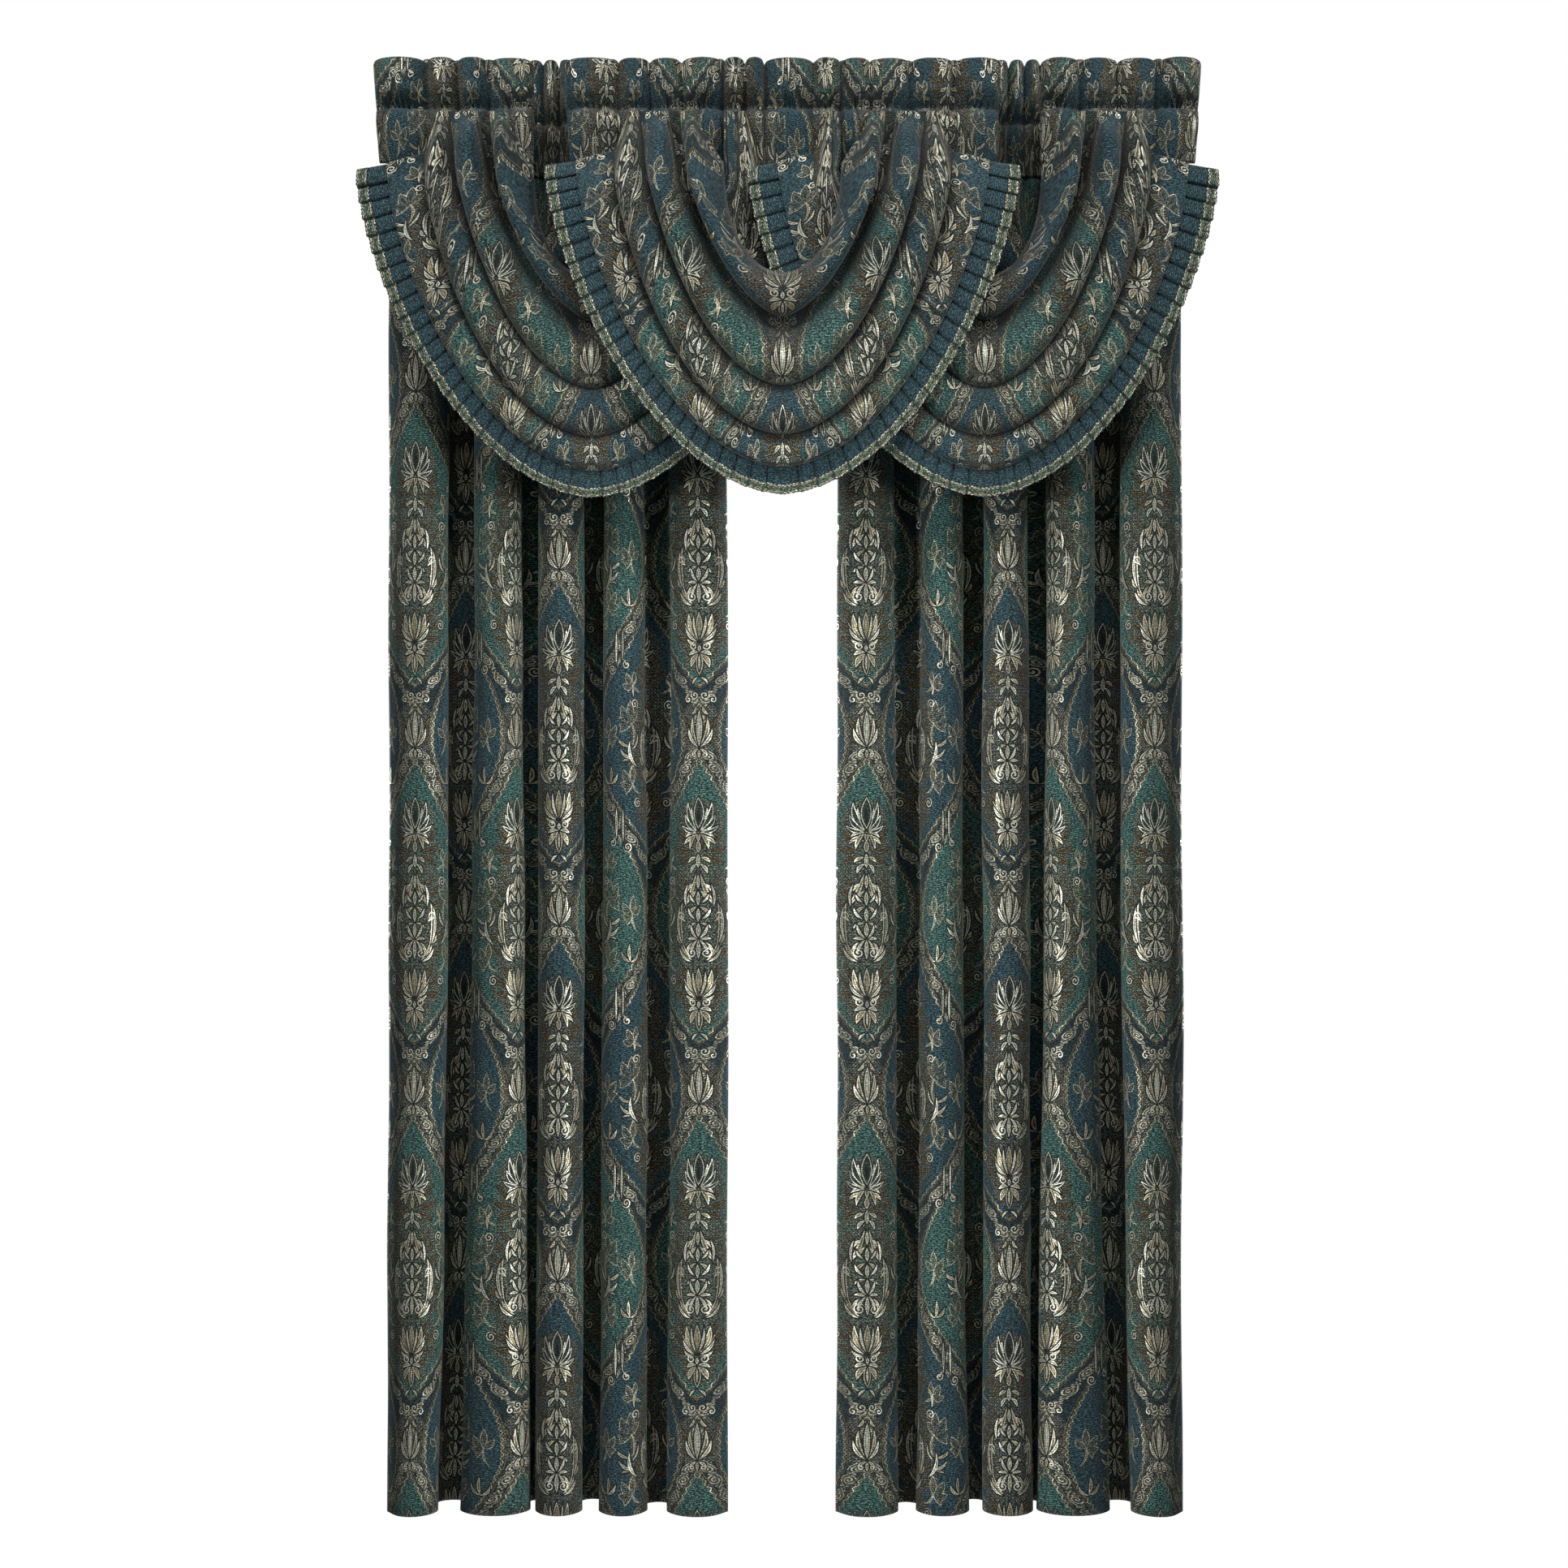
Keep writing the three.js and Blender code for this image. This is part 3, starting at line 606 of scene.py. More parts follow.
def swag_grid(name, seed):
    """The middle of a swag's cloth with its UVs. Rolls sink outwards, away from the neck,
    as far as their weight pulls them over the tuck below."""
    low, high = span(name + "_swag")
    gaps = len(SWAG_LINES) - 1
    place = np.linspace(0, gaps, gaps * SWAG_ROWS_PER_GAP + 1)[:, None]
    angle = np.linspace(0, math.pi, SWAG_COLUMNS)[None, :]
    lines = line_at(np.broadcast_to(place, (len(place), SWAG_COLUMNS)))
    points, lift = swag_points(SWAGS[name], lines, angle, (low[0] + high[0]) / 2)
    droop = mix(DROOP_SIDES, DROOP, np.sin(angle) ** 2)
    sink = droop * lift * ease(points[..., 2], DROOP_START, DROOP_FULL)
    sink = sink * ease(gaps - place, 0, HEM_STILL)
    points[..., 0] -= sink * np.cos(angle)
    points[..., 2] -= sink * np.sin(angle)
    ripple = SWAG_RIPPLE * waves(points[..., 0], points[..., 2], SWAG_RIPPLE_LENGTHS, seed)
    ripple = ripple * ease(points[..., 2], RIPPLE_START, RIPPLE_FULL)
    points[..., 1] += ripple * ease(gaps - place, 0, 1)
    hang = (1 - np.abs(np.cos(angle)) ** CUT_SQUARE) ** CUT_ROOT
    profile = lines[:, 0]
    drop = arc_lengths(profile[None][..., [2, 6]], 1)[0][:, None]
    spread = arc_lengths(profile[None][..., [0, 5]], 1)[0][:, None]
    u = -np.cos(angle) * (spread + NECK_REACH)
    v = mix(0 * u, -(drop + SWAG_NECK_DROP), hang)
    uv = np.stack([SWAG_SCALE * u + SWAG_COLUMN, SWAG_SCALE * v + SWAG_DROP], -1)
    # the third value is the share of painted light: the tucks get painted shade, the rolls their
    # full colour
    return points, uv, np.interp(place, *PAINTED_LIGHT_LINE) + 0 * u


print("a swag's grid:", (len(SWAG_LINES) - 1) * SWAG_ROWS_PER_GAP + 1, "rows of", SWAG_COLUMNS)

# %% [markdown]
# ## Ruffle and braid
# The ruffle is a strip laid in knife pleats: it runs forward past the next pleat, folds
# back under itself and comes out again. Its inner edge is sewn behind the hem. The braid
# is sewn on the ruffle's free edge before pleating, so it takes the same steps.

# %% Where the trim lies
TRIM_WIDTH = 44.0  # from the hem to the ruffle's free edge
EDGE_STATIONS = 3001  # points along the hem that the lengths are measured on


def trim_frame(name):
    """A function that gives points of the trim from distances along its outer edge and
    shares of the way from the hem to that edge, and the edge's whole length."""
    low, high = span(name + "_swag")
    centre_x = (low[0] + high[0]) / 2
    angles = np.linspace(0, math.pi, EDGE_STATIONS)
    rims = [
        swag_points(SWAGS[name], np.tile(line, (EDGE_STATIONS, 1)), angles, centre_x)[0]
        for line in (SWAG_LINES[-1], TRIM_LINE)
    ]
    lengths = arc_lengths(rims[1][None], 1)[0]

    def at(length, share, depth):
        """The point at a length along the edge, a share of the way out, set back by depth."""
        hem, edge = (
            np.stack([np.interp(length, lengths, rim[:, k]) for k in range(3)], -1)
            for rim in rims
        )
        point = mix(hem, edge, share[..., None])
        point[..., 1] += depth
        return point

    return at, lengths[-1]


# %% Knife pleats
PLEATS = 48
PLEAT_UNDER = 6.0  # how far a pleat reaches over the next one
PLEAT_HEIGHT = 4.2  # how far a pleat's front stands before its root
PLEAT_POINTS = 7  # along a pleat's front
PLEAT_RETURN = (0.35, 0.75)  # where the two points of its way back lie
RUFFLE_BACK = 5.4  # depth of the pleats' roots behind the hem's middle
EDGE_STEP = 2.4  # how far a pleat's free edge juts out at its front


def pleat_path(total):
    """Stations of the pleated strip: distance along the edge, depth, how far out the free
    edge juts, and distance along the flat strip. The pleats of both sides lap downwards,
    so the second half is the first one mirrored, and they meet in a box pleat."""
    pitch = total / PLEATS
    start = np.arange(PLEATS // 2)[:, None] * pitch
    run = np.linspace(0, 1, PLEAT_POINTS)[None, :]
    back = np.array([PLEAT_RETURN])
    hidden = PLEAT_UNDER / 2 * (start > 0)
    length = [start - hidden + run * (pitch + PLEAT_UNDER / 2)]
    length.append(start + pitch - PLEAT_UNDER / 2 * back + PLEAT_UNDER / 4)
    depth = [RUFFLE_BACK - PLEAT_HEIGHT * np.sin(run * math.pi / 2) + 0 * start]
    depth.append(RUFFLE_BACK - PLEAT_HEIGHT * (1 - 0.5 * back) + 0 * start)
    jut = [EDGE_STEP * run + 0 * start, EDGE_STEP * (1 - back) + 0 * start]
    half = slice(0, -back.size)
    length, depth, jut = (np.concatenate(part, 1).ravel()[half] for part in (length, depth, jut))
    length = np.clip(length, 0, total / 2)
    length = np.concatenate([length, total - length[::-1][1:]])
    depth = np.concatenate([depth, depth[::-1][1:]])
    jut = np.concatenate([jut, jut[::-1][1:]])
    flat = np.concatenate([[0], np.cumsum(np.hypot(np.diff(length), np.diff(depth)))])
    return length, depth, jut, flat


print("flat strip for 1 m of pleats:", round(float(pleat_path(1000)[3][-1])), "mm")

# %% Ruffle and braid shapes
RUFFLE_CLOTH = 1.0
TRIM_ROWS = 14
SEWN_UNDER = 0.12  # share of the ruffle's width that is sewn behind the hem
FREE_EDGE = 0.97
JUT_START = 0.2  # from this share of the width the pleats' edges jut out
BRAID_CLOTH = 1.0
BRAID_WIDTH = 16.0
BRAID_ROWS = 7
BRAID_STATIONS = 20  # to a pleat
BRAID_INSET, BRAID_FORWARD = 1, 1.3  # how far inside the edge, and before the ruffle
SCALLOPS, SCALLOP_DEPTH = 4, 0.9  # to a pleat


def ruffle_grid(name):
    """The pleated strip, from just under the hem to its free edge."""
    at, total = trim_frame(name)
    length, depth, jut, flat = pleat_path(total)
    share = np.linspace(-SEWN_UNDER, FREE_EDGE, TRIM_ROWS)[:, None]
    out = share + jut / TRIM_WIDTH * ease(share, JUT_START, 1)
    points = at(length + 0 * share, out, depth + 0 * share)
    return points, np.stack([flat + 0 * share, share * TRIM_WIDTH + 0 * flat], -1)


def braid_grid(name):
    """The braid on the front runs of the pleats. Both of its edges are scalloped: they
    stand out by the depth times |sin| over a quarter of a pleat."""
    at, total = trim_frame(name)
    count = PLEATS * BRAID_STATIONS
    length = np.linspace(0, total, count + 1)
    pitch = total / PLEATS
    phase = (np.minimum(length, total - length) / pitch) % 1
    phase[count // 2] = 1
    depth = RUFFLE_BACK - PLEAT_HEIGHT * np.sin(phase * math.pi / 2) - BRAID_FORWARD
    jut = EDGE_STEP * phase
    scallop = SCALLOP_DEPTH * np.abs(np.sin(math.pi * length / (pitch / SCALLOPS)))
    inner = TRIM_WIDTH - BRAID_WIDTH - scallop
    outer = TRIM_WIDTH - BRAID_INSET + scallop
    share = np.linspace(0, 1, BRAID_ROWS)[:, None]
    out = (mix(inner, outer, share) + jut) / TRIM_WIDTH
    points = at(length + 0 * share, out, depth + 0 * share)
    return points, np.stack([length + 0 * share, BRAID_WIDTH * share + 0 * length], -1)


# %% [markdown]
# ## Drawing with nodes
# The woven figure is drawn by the shader from the cloth's UV map, so it follows every fold
# and stays sharp at any distance. `Net` adds nodes to a tree and hands back their sockets,
# so that a formula reads like a formula. What more than one material uses is a node group.

# %% Net
class Net:
    """Adds nodes to a node tree. Each method returns the socket that holds its result."""

    def __init__(self, tree):
        self.tree = tree

    def node(self, kind, **settings):
        made = self.tree.nodes.new("ShaderNode" + kind)
        for key, value in settings.items():
            setattr(made, key, value)
        return made

    def feed(self, socket, value):
        if isinstance(value, bpy.types.NodeSocket):
            self.tree.links.new(value, socket)
        else:
            socket.default_value = value

    def math(self, operation, *values):
        made = self.node("Math", operation=operation)
        for socket, value in zip(made.inputs, values):
            self.feed(socket, value)
        return made.outputs[0]

    def add(self, a, b):
        return self.math("ADD", a, b)

    def sub(self, a, b):
        return self.math("SUBTRACT", a, b)

    def mul(self, a, b):
        return self.math("MULTIPLY", a, b)

    def muladd(self, a, b, c):
        return self.math("MULTIPLY_ADD", a, b, c)

    def least(self, a, b):
        return self.math("MINIMUM", a, b)

    def most(self, *values):
        result = values[0]
        for value in values[1:]:
            result = self.math("MAXIMUM", result, value)
        return result

    def vector(self, operation, *values):
        made = self.node("VectorMath", operation=operation)
        for socket, value in zip(made.inputs, values):
            self.feed(socket, value)
        return made.outputs[0]

    def step(self, value, start, end):
        """0 at start and 1 at end with a smooth step between; end may be below start."""
        made = self.node("MapRange", interpolation_type="SMOOTHSTEP")
        for name, number in (("Value", value), ("From Min", start), ("From Max", end)):
            self.feed(made.inputs[name], number)
        return made.outputs["Result"]

    def line(self, distance, half):
        """1 on a line of this half width, fading out over a little more than a thread."""
        return self.step(self.math("ABSOLUTE", distance), half + 0.45, half - 0.25)

    def curve(self, value, points, span, tall):
        """A smooth curve through (place, height) points, for places from 0 to span."""
        made = self.node("FloatCurve")
        mapping = made.mapping
        mapping.use_clip = False
        knots = mapping.curves[0].points
        while len(knots) < len(points):
            knots.new(0.5, 0.5)
        for knot, (place, height) in zip(knots, sorted(points)):
            knot.location = (place / span, height / tall)
            knot.handle_type = "AUTO_CLAMPED"
        mapping.update()
        self.feed(made.inputs["Value"], self.mul(value, 1 / span))
        return self.mul(made.outputs["Value"], tall)

    def colour(self, share, a, b):
        made = self.node("Mix", data_type="RGBA")
        for socket, value in zip((made.inputs[0], made.inputs[6], made.inputs[7]), (share, a, b)):
            self.feed(socket, value)
        return made.outputs[2]

    def shaded(self, colour, shade):
        """A colour times a number."""
        made = self.node("VectorMath", operation="SCALE")
        self.feed(made.inputs[0], colour)
        self.feed(made.inputs["Scale"], shade)
        return made.outputs[0]

    def group(self, tree, **values):
        """Places a group. Underscores in the names stand for spaces."""
        made = self.node("Group", node_tree=tree)
        for name, value in values.items():
            self.feed(made.inputs[name.replace("_", " ")], value)
        return made.outputs


# %% Node groups and yarn colours
def new_group(name, inputs, outputs):
    """An empty node group, its net, its input sockets and its output node. Inputs are
    (name, default) pairs: a number, or None for a vector."""
    tree = bpy.data.node_groups.new(name, "ShaderNodeTree")
    for label, default in inputs:
        kind = "NodeSocketVector" if default is None else "NodeSocketFloat"
        socket = tree.interface.new_socket(label, in_out="INPUT", socket_type=kind)
        if default is not None:
            socket.default_value = default
    for label in outputs:
        tree.interface.new_socket(label, in_out="OUTPUT", socket_type="NodeSocketFloat")
    given, out = tree.nodes.new("NodeGroupInput"), tree.nodes.new("NodeGroupOutput")
    return tree, Net(tree), given.outputs, out.inputs


def thread(hex_code):
    """A yarn's colour, written as on a shade card, in the linear values of a shader."""
    parts = [int(hex_code[i : i + 2], 16) / 255 for i in (0, 2, 4)]
    linear = [p / 12.92 if p <= 0.04045 else ((p + 0.055) / 1.055) ** 2.4 for p in parts]
    return (*linear, 1.0)


print("the navy chenille is", [round(value, 3) for value in thread("2c4a52")[:3]])

# %% [markdown]
# ## The repeat
# The figure is a traditional ogee damask with a half drop. Columns of ornament stand side
# by side, each mirrored about its own axis, and every second column starts half a repeat
# lower. So a point of the cloth is folded three times: to its nearest column, to that
# column's right side, and into one repeat. All that follows is drawn in that small strip.

# %% Folding the cloth into one repeat
COLUMN = 158.75  # eight columns across a 1270 mm panel
REPEAT = 517.0


def half_drop_group():
    """Across is the distance from the nearest column's axis and Along the distance down
    its repeat, both in millimetres. Odd is 1 in the columns that start half way down."""
    tree, net, given, out = new_group(
        "Half drop", [("Cloth", None)], ["Across", "Along", "Odd", "U", "V"]
    )
    parts = net.node("SeparateXYZ")
    net.feed(parts.inputs[0], given[0])
    u = net.mul(parts.outputs[0], 1 / MM)
    v = net.mul(parts.outputs[1], -1 / MM)
    column = net.math("ROUND", net.mul(u, 1 / COLUMN))
    across = net.math("ABSOLUTE", net.sub(u, net.mul(column, COLUMN)))
    odd = net.math("FLOORED_MODULO", column, 2.0)
    along = net.math("FLOORED_MODULO", net.muladd(odd, REPEAT / 2, v), REPEAT)
    for socket, value in zip(out, (across, along, odd, u, v)):
        net.feed(socket, value)
    return tree


# %% Polar places
def polar_group():
    """Radius and Angle, in turns from 0 to 1, of a point seen from a centre."""
    tree, net, given, out = new_group(
        "Polar",
        [(name, 0.0) for name in ("Across", "Along", "Centre across", "Centre along", "Turn")],
        ["Radius", "Angle"],
    )
    x = net.sub(given["Across"], given["Centre across"])
    y = net.sub(given["Along"], given["Centre along"])
    square = net.muladd(x, x, net.mul(y, y))
    angle = net.mul(net.math("ARCTAN2", y, x), 1 / (2 * math.pi))
    net.feed(out["Radius"], net.math("SQRT", square))
    net.feed(out["Angle"], net.math("FRACT", net.add(angle, given["Turn"])))
    return tree


# %% Leaves
SPRAY = [  # turn, share of the size: three narrow leaflets from one point
    (0.0, 0.06), (0.27, 0.08), (0.31, 0.35), (0.34, 0.85), (0.37, 0.35), (0.41, 0.12),
    (0.46, 0.55), (0.50, 1.15), (0.54, 0.55), (0.59, 0.12), (0.63, 0.35), (0.66, 0.85),
    (0.69, 0.35), (0.73, 0.08), (1.0, 0.06),
]


def leaf_group(name, outline, veins):
    """A leaf from its outline in polar form. Line is its edge and veins, Fill its inside."""
    tree, net, given, out = new_group(
        name, [("Radius", 0.0), ("Angle", 0.0), ("Size", 12.0)], ["Line", "Fill"]
    )
    edge = net.mul(net.curve(given["Angle"], outline, 1.0, 1.25), given["Size"])
    beyond = net.mul(net.sub(given["Radius"], edge), 0.8)
    fill = net.step(beyond, 0.5, -0.5)
    spoke = net.sub(net.math("FRACT", net.mul(given["Angle"], veins)), 0.5)
    off_vein = net.mul(net.mul(spoke, given["Radius"]), 2 * math.pi / veins)
    vein = net.mul(net.line(off_vein, 0.35), net.step(beyond, -1.5, -3.0))
    net.feed(out["Line"], net.most(net.line(beyond, 0.7), vein))
    net.feed(out["Fill"], fill)
    return tree


# %% Scrolls and chains
CHAIN_TURN = 13.0  # length of one twist of the two strands


def scroll_group():
    """A spiral line: where the angle plus the radius over the pitch is a whole number."""
    tree, net, given, out = new_group(
        "Scroll",
        [("Radius", 0.0), ("Angle", 0.0), ("Size", 8.0), ("Pitch", 4.4), ("Half width", 0.9)],
        ["Line", "Fill"],
    )
    winding = net.add(given["Angle"], net.math("DIVIDE", given["Radius"], given["Pitch"]))
    off = net.mul(net.sub(net.math("FRACT", winding), 0.5), given["Pitch"])
    wide = net.sub(net.math("ABSOLUTE", off), given["Half width"])
    inside = net.step(net.sub(given["Radius"], given["Size"]), 0.5, -0.5)
    net.feed(out["Line"], net.mul(net.step(wide, 0.4, -0.3), inside))
    net.feed(out["Fill"], inside)
    return tree


def chain_group():
    """A frame line: an ivory and a gold strand twisted round each other, beside a line."""
    tree, net, given, out = new_group("Chain", [("Off", 0.0), ("Along", 0.0)], ["Yarn", "Tone"])
    twist = net.mul(net.math("SINE", net.mul(given["Along"], 2 * math.pi / CHAIN_TURN)), 1.8)
    ivory = net.line(net.sub(given["Off"], twist), 0.5)
    gold = net.mul(net.line(net.add(given["Off"], twist), 0.4), 0.8)
    edge = net.mul(net.line(net.sub(given["Off"], 4.4), 0.3), 0.7)
    net.feed(out["Yarn"], net.most(ivory, gold, edge))
    net.feed(out["Tone"], ivory)
    return tree


# %% [markdown]
# ## Frames and bands
# Each column's ogee cell opens at an apex and closes in a point four fifths of the way
# down. Between neighbouring cells runs a band full of fine scrollwork. `OGEE` is the half
# width of a cell down its repeat, and a point's distance from that curve draws the frame.

# %% Frames and bands
OGEE = [  # distance down the repeat, half width of the cell
    (0, 0), (40, 25), (80, 52), (120, 82), (160, 110), (200, 126), (235, 129), (270, 119),
    (310, 95), (350, 62), (385, 26), (410, 1), (420, -14), (440, -30), (487, -30), (506, -14),
    (517, 0),
]
OGEE_TALL = 160  # the curve's scale, over its widest place
STEEP = 0.84  # cosine of the frame's usual slant
BAND_WAVE = 46.52  # an odd number of half waves in half a repeat, so that columns agree
STEM_WAVE, STEM_SWING = 27.0, 7.5  # the band's stem: half a wave's length, and its height


def band_group(parts):
    """The distance outside the own and the next column's cell, and the band's scrollwork."""
    tree, net, given, out = new_group(
        "Band",
        [("Across", 0.0), ("Along", 0.0)],
        ["Outside", "Next outside", "Yarn", "Tone", "Scrolls"],
    )
    across, along = given["Across"], given["Along"]
    next_across = net.sub(COLUMN, across)
    next_along = net.math("FLOORED_MODULO", net.add(along, REPEAT / 2), REPEAT)
    off = net.mul(net.sub(across, net.curve(along, OGEE, REPEAT, OGEE_TALL)), STEEP)
    next_half = net.curve(next_along, OGEE, REPEAT, OGEE_TALL)
    next_off = net.mul(net.sub(next_across, next_half), STEEP)
    length = net.mul(along, 1 / STEEP)
    yarn, tone = [], []
    for distance in (off, next_off):
        chain = net.group(parts["chain"], Off=distance, Along=length)
        yarn.append(chain["Yarn"])
        tone.append(chain["Tone"])
    side = net.mul(net.sub(off, next_off), 0.5)
    wave_length = BAND_WAVE / STEEP / STEEP
    wave = net.mul(length, 2 / wave_length)
    half = net.math("FLOORED_MODULO", net.math("FLOOR", wave), 2.0)
    sign = net.muladd(half, -2.0, 1.0)
    p = net.mul(net.sub(net.math("FRACT", wave), 0.5), wave_length / 2)
    q = net.mul(side, sign)
    swing = net.mul(net.math("COSINE", net.mul(p, math.pi / STEM_WAVE)), STEM_SWING)
    stem = net.line(net.sub(q, swing), 0.85)
    place = net.group(parts["polar"], Across=p, Along=q, Centre_across=0.0, Centre_along=-1.5)
    curl = net.group(
        parts["scroll"], Radius=place["Radius"], Angle=place["Angle"],
        Size=8.5, Pitch=4.3, Half_width=1.05,
    )
    spray = net.group(
        parts["polar"], Across=net.math("ABSOLUTE", p), Along=q,
        Centre_across=11.0, Centre_along=-4.0, Turn=0.28,
    )
    leaflet = net.group(parts["spray"], Radius=spray["Radius"], Angle=spray["Angle"], Size=7.5)
    nearest = net.least(off, next_off)
    within = net.step(nearest, 5.0, 6.0)
    scrolls = net.mul(net.most(curl["Line"], stem, leaflet["Line"]), within)
    values = (off, next_off, net.most(*yarn), net.most(*tone), scrolls)
    for socket, value in zip(out, values):
        net.feed(socket, value)
    return tree


# %% [markdown]
# ## The ornament on the axis
# From the apex down: a lotus, a lily, a vase of acanthus, a heart, a pendant of three
# lobes, and a small bud between this cell and the next one, with vine leaves beside them.
# Every part is a petal: a lens between its root and its tip that may bend to one side. The
# tables list them in millimetres for the right half, as a designer's point paper would.
# Most of them were first laid out for a wider cell with fuller petals, so `slimmed` takes
# these in to the width of this one.

# %% Slimming a drawing
SLIM, SLIM_BROWN = 0.8, 0.82  # the first drawing's widths, brought to this cell's


def slimmed(across, plump, rows):
    """Petals with their distances across and their bends times one factor, and their half
    widths times another, to a tenth of a millimetre."""
    return [
        (
            round(root_x * across, 1), root_y, round(tip_x * across, 1), tip_y,
            round(half * plump, 1), round(bend * across, 1),
        )
        for root_x, root_y, tip_x, tip_y, half, bend in rows
    ]


print("a petal 10 wide becomes", slimmed(SLIM, 0.82, [(0, 0, 10, 20, 5, 0)])[0])

# %% Petals of ivory yarn
# Each row: root across, root along, tip across, tip along, half width, bend.
IVORY_PETALS = [
    *slimmed(SLIM, 0.82, [  # lotus, and the lily's lower petal
        (0, 96, 0, 66, 4.2, 0), (0, 101, 0, 55, 9.0, 0), (3, 103, 22, 62, 5.0, 6),
        (3, 104, 29, 80, 4.4, 5), (4, 105, 36, 96, 3.6, 4), (9, 88, 14, 70, 2.0, 2),
        (3, 107, 27, 114, 2.6, -4),
    ]),
    *slimmed(SLIM, 1, [  # lily
        (0, 137, 0, 158, 3.0, 0), (3, 152, 15, 166, 2.4, -3),
    ]),
    *slimmed(SLIM, 0.8, [
        # vase: buds on the axis
        (0, 188, 0, 168, 3.0, 0), (0, 212, 0, 192, 3.4, 0), (0, 236, 0, 216, 3.6, 0),
        (0, 258, 0, 238, 4.0, 0), (2, 260, 15, 240, 2.4, 3), (0, 262, 0, 290, 3.6, 0),
        (2, 262, 15, 284, 2.4, -3), (6, 208, 17, 196, 2.0, 2), (6, 232, 20, 216, 2.2, 3),
        # vase: outer curls
        (35, 268, 39, 214, 3.0, 7), (25, 214, 21, 182, 2.4, 4), (14, 294, 41, 274, 2.6, 5),
    ]),
    *slimmed(SLIM, 1, [  # heart and pendant
        (2, 344, 11, 308, 1.7, 3), (0, 351, 0, 361, 2.4, 0), (0, 366, 0, 388, 1.6, 0),
        (2, 362, 21, 366, 2.7, -3), (5, 346, 29, 326, 2.2, 4), (3, 398, 14, 408, 1.6, -2),
    ]),
    # bars where a band crosses to the next column
    (73, 70, 73, 116, 1.8, 0), (74, 330, 74, 380, 1.8, 0), (60, 122, 72, 112, 1.2, 2),
    *slimmed(SLIM, 1, [  # bud
        (0, 498, 0, 446, 4.2, 0), (2, 499, 22, 472, 2.5, 5), (2, 502, 14, 512, 2.2, -2),
    ]),
    # flourish beside the vase, from its foot up to the leaf
    (46, 270, 60, 232, 2.7, 7), (53, 256, 78, 243, 2.2, 5), (56, 244, 44, 222, 1.7, -4),
]
print(len(IVORY_PETALS), "ivory petals")

# %% Petals of gold yarn
GOLD_PETALS = [
    *slimmed(SLIM, 0.85, [  # lotus and lily
        (0, 90, 0, 76, 1.6, 0), (0, 104, 0, 120, 3.4, 0), (0, 118, 0, 136, 4.2, 0),
        (2, 106, 17, 131, 3.4, -4), (6, 112, 30, 124, 3.0, -3), (4, 142, 20, 150, 2.8, -2),
    ]),
    *slimmed(SLIM, 0.765, [  # vase: acanthus sides
        (4, 166, 30, 216, 3.8, 4), (30, 274, 33, 208, 5.0, 8), (8, 180, 25, 196, 2.8, -3),
        (12, 292, 35, 262, 4.6, 6), (26, 236, 41, 218, 3.0, 4), (30, 252, 46, 236, 3.0, 4),
        (32, 268, 48, 254, 3.0, 4), (3, 214, 18, 228, 3.0, -3), (3, 238, 21, 246, 2.8, -3),
        (3, 262, 22, 261, 2.8, -2), (4, 265, 25, 279, 2.8, -3), (3, 190, 12, 204, 2.4, -2),
    ]),
    *slimmed(SLIM, 0.85, [
        # heart and pendant
        (0, 346, 0, 303, 5.4, 0), (2, 346, 21, 305, 4.8, 6), (5, 347, 30, 318, 3.4, 5),
        (0, 362, 0, 395, 6.0, 0), (1, 364, 17, 384, 4.6, -4), (6, 350, 26, 342, 2.4, 3),
        # bud
        (1, 499, 13, 456, 3.2, 6), (0, 501, 0, 516, 2.6, 0), (6, 440, 16, 452, 2.4, 3),
    ]),
    # flourish beside the vase, and a curl above it
    (50, 262, 74, 262, 2.0, -4), (58, 240, 84, 226, 2.2, 4), (52, 168, 46, 140, 2.2, 4),
    # sprig in the next column's cell
    (60, 36, 62, 10, 2.6, 2), (60, 36, 76, 20, 2.3, 4), (60, 36, 46, 22, 2.2, -4),
]
print(len(GOLD_PETALS), "gold petals")

# %% Petals of brown yarn
BROWN_PETALS = [
    *slimmed(SLIM_BROWN, 0.75, [  # lily
        (10, 124, 46, 102, 5.0, 3), (12, 134, 50, 128, 5.0, 2), (10, 142, 44, 153, 4.6, -2),
    ]),
    *slimmed(SLIM_BROWN, 0.675, [  # vase
        (16, 184, 36, 170, 4.2, 3), (22, 200, 46, 186, 4.4, 3), (28, 216, 54, 204, 4.4, 3),
        (40, 246, 60, 226, 4.2, 3), (38, 264, 61, 250, 4.2, 3), (28, 284, 54, 276, 4.4, 2),
    ]),
    *slimmed(SLIM_BROWN, 0.75, [  # heart, bud and pendant
        (10, 322, 38, 298, 4.6, 3), (12, 334, 50, 316, 5.0, 3), (10, 342, 48, 340, 4.6, 2),
        (5, 480, 30, 456, 4.2, 3), (5, 492, 30, 484, 4.0, 2), (5, 360, 30, 356, 3.0, 2),
    ]),
]
print(len(BROWN_PETALS), "brown petals")

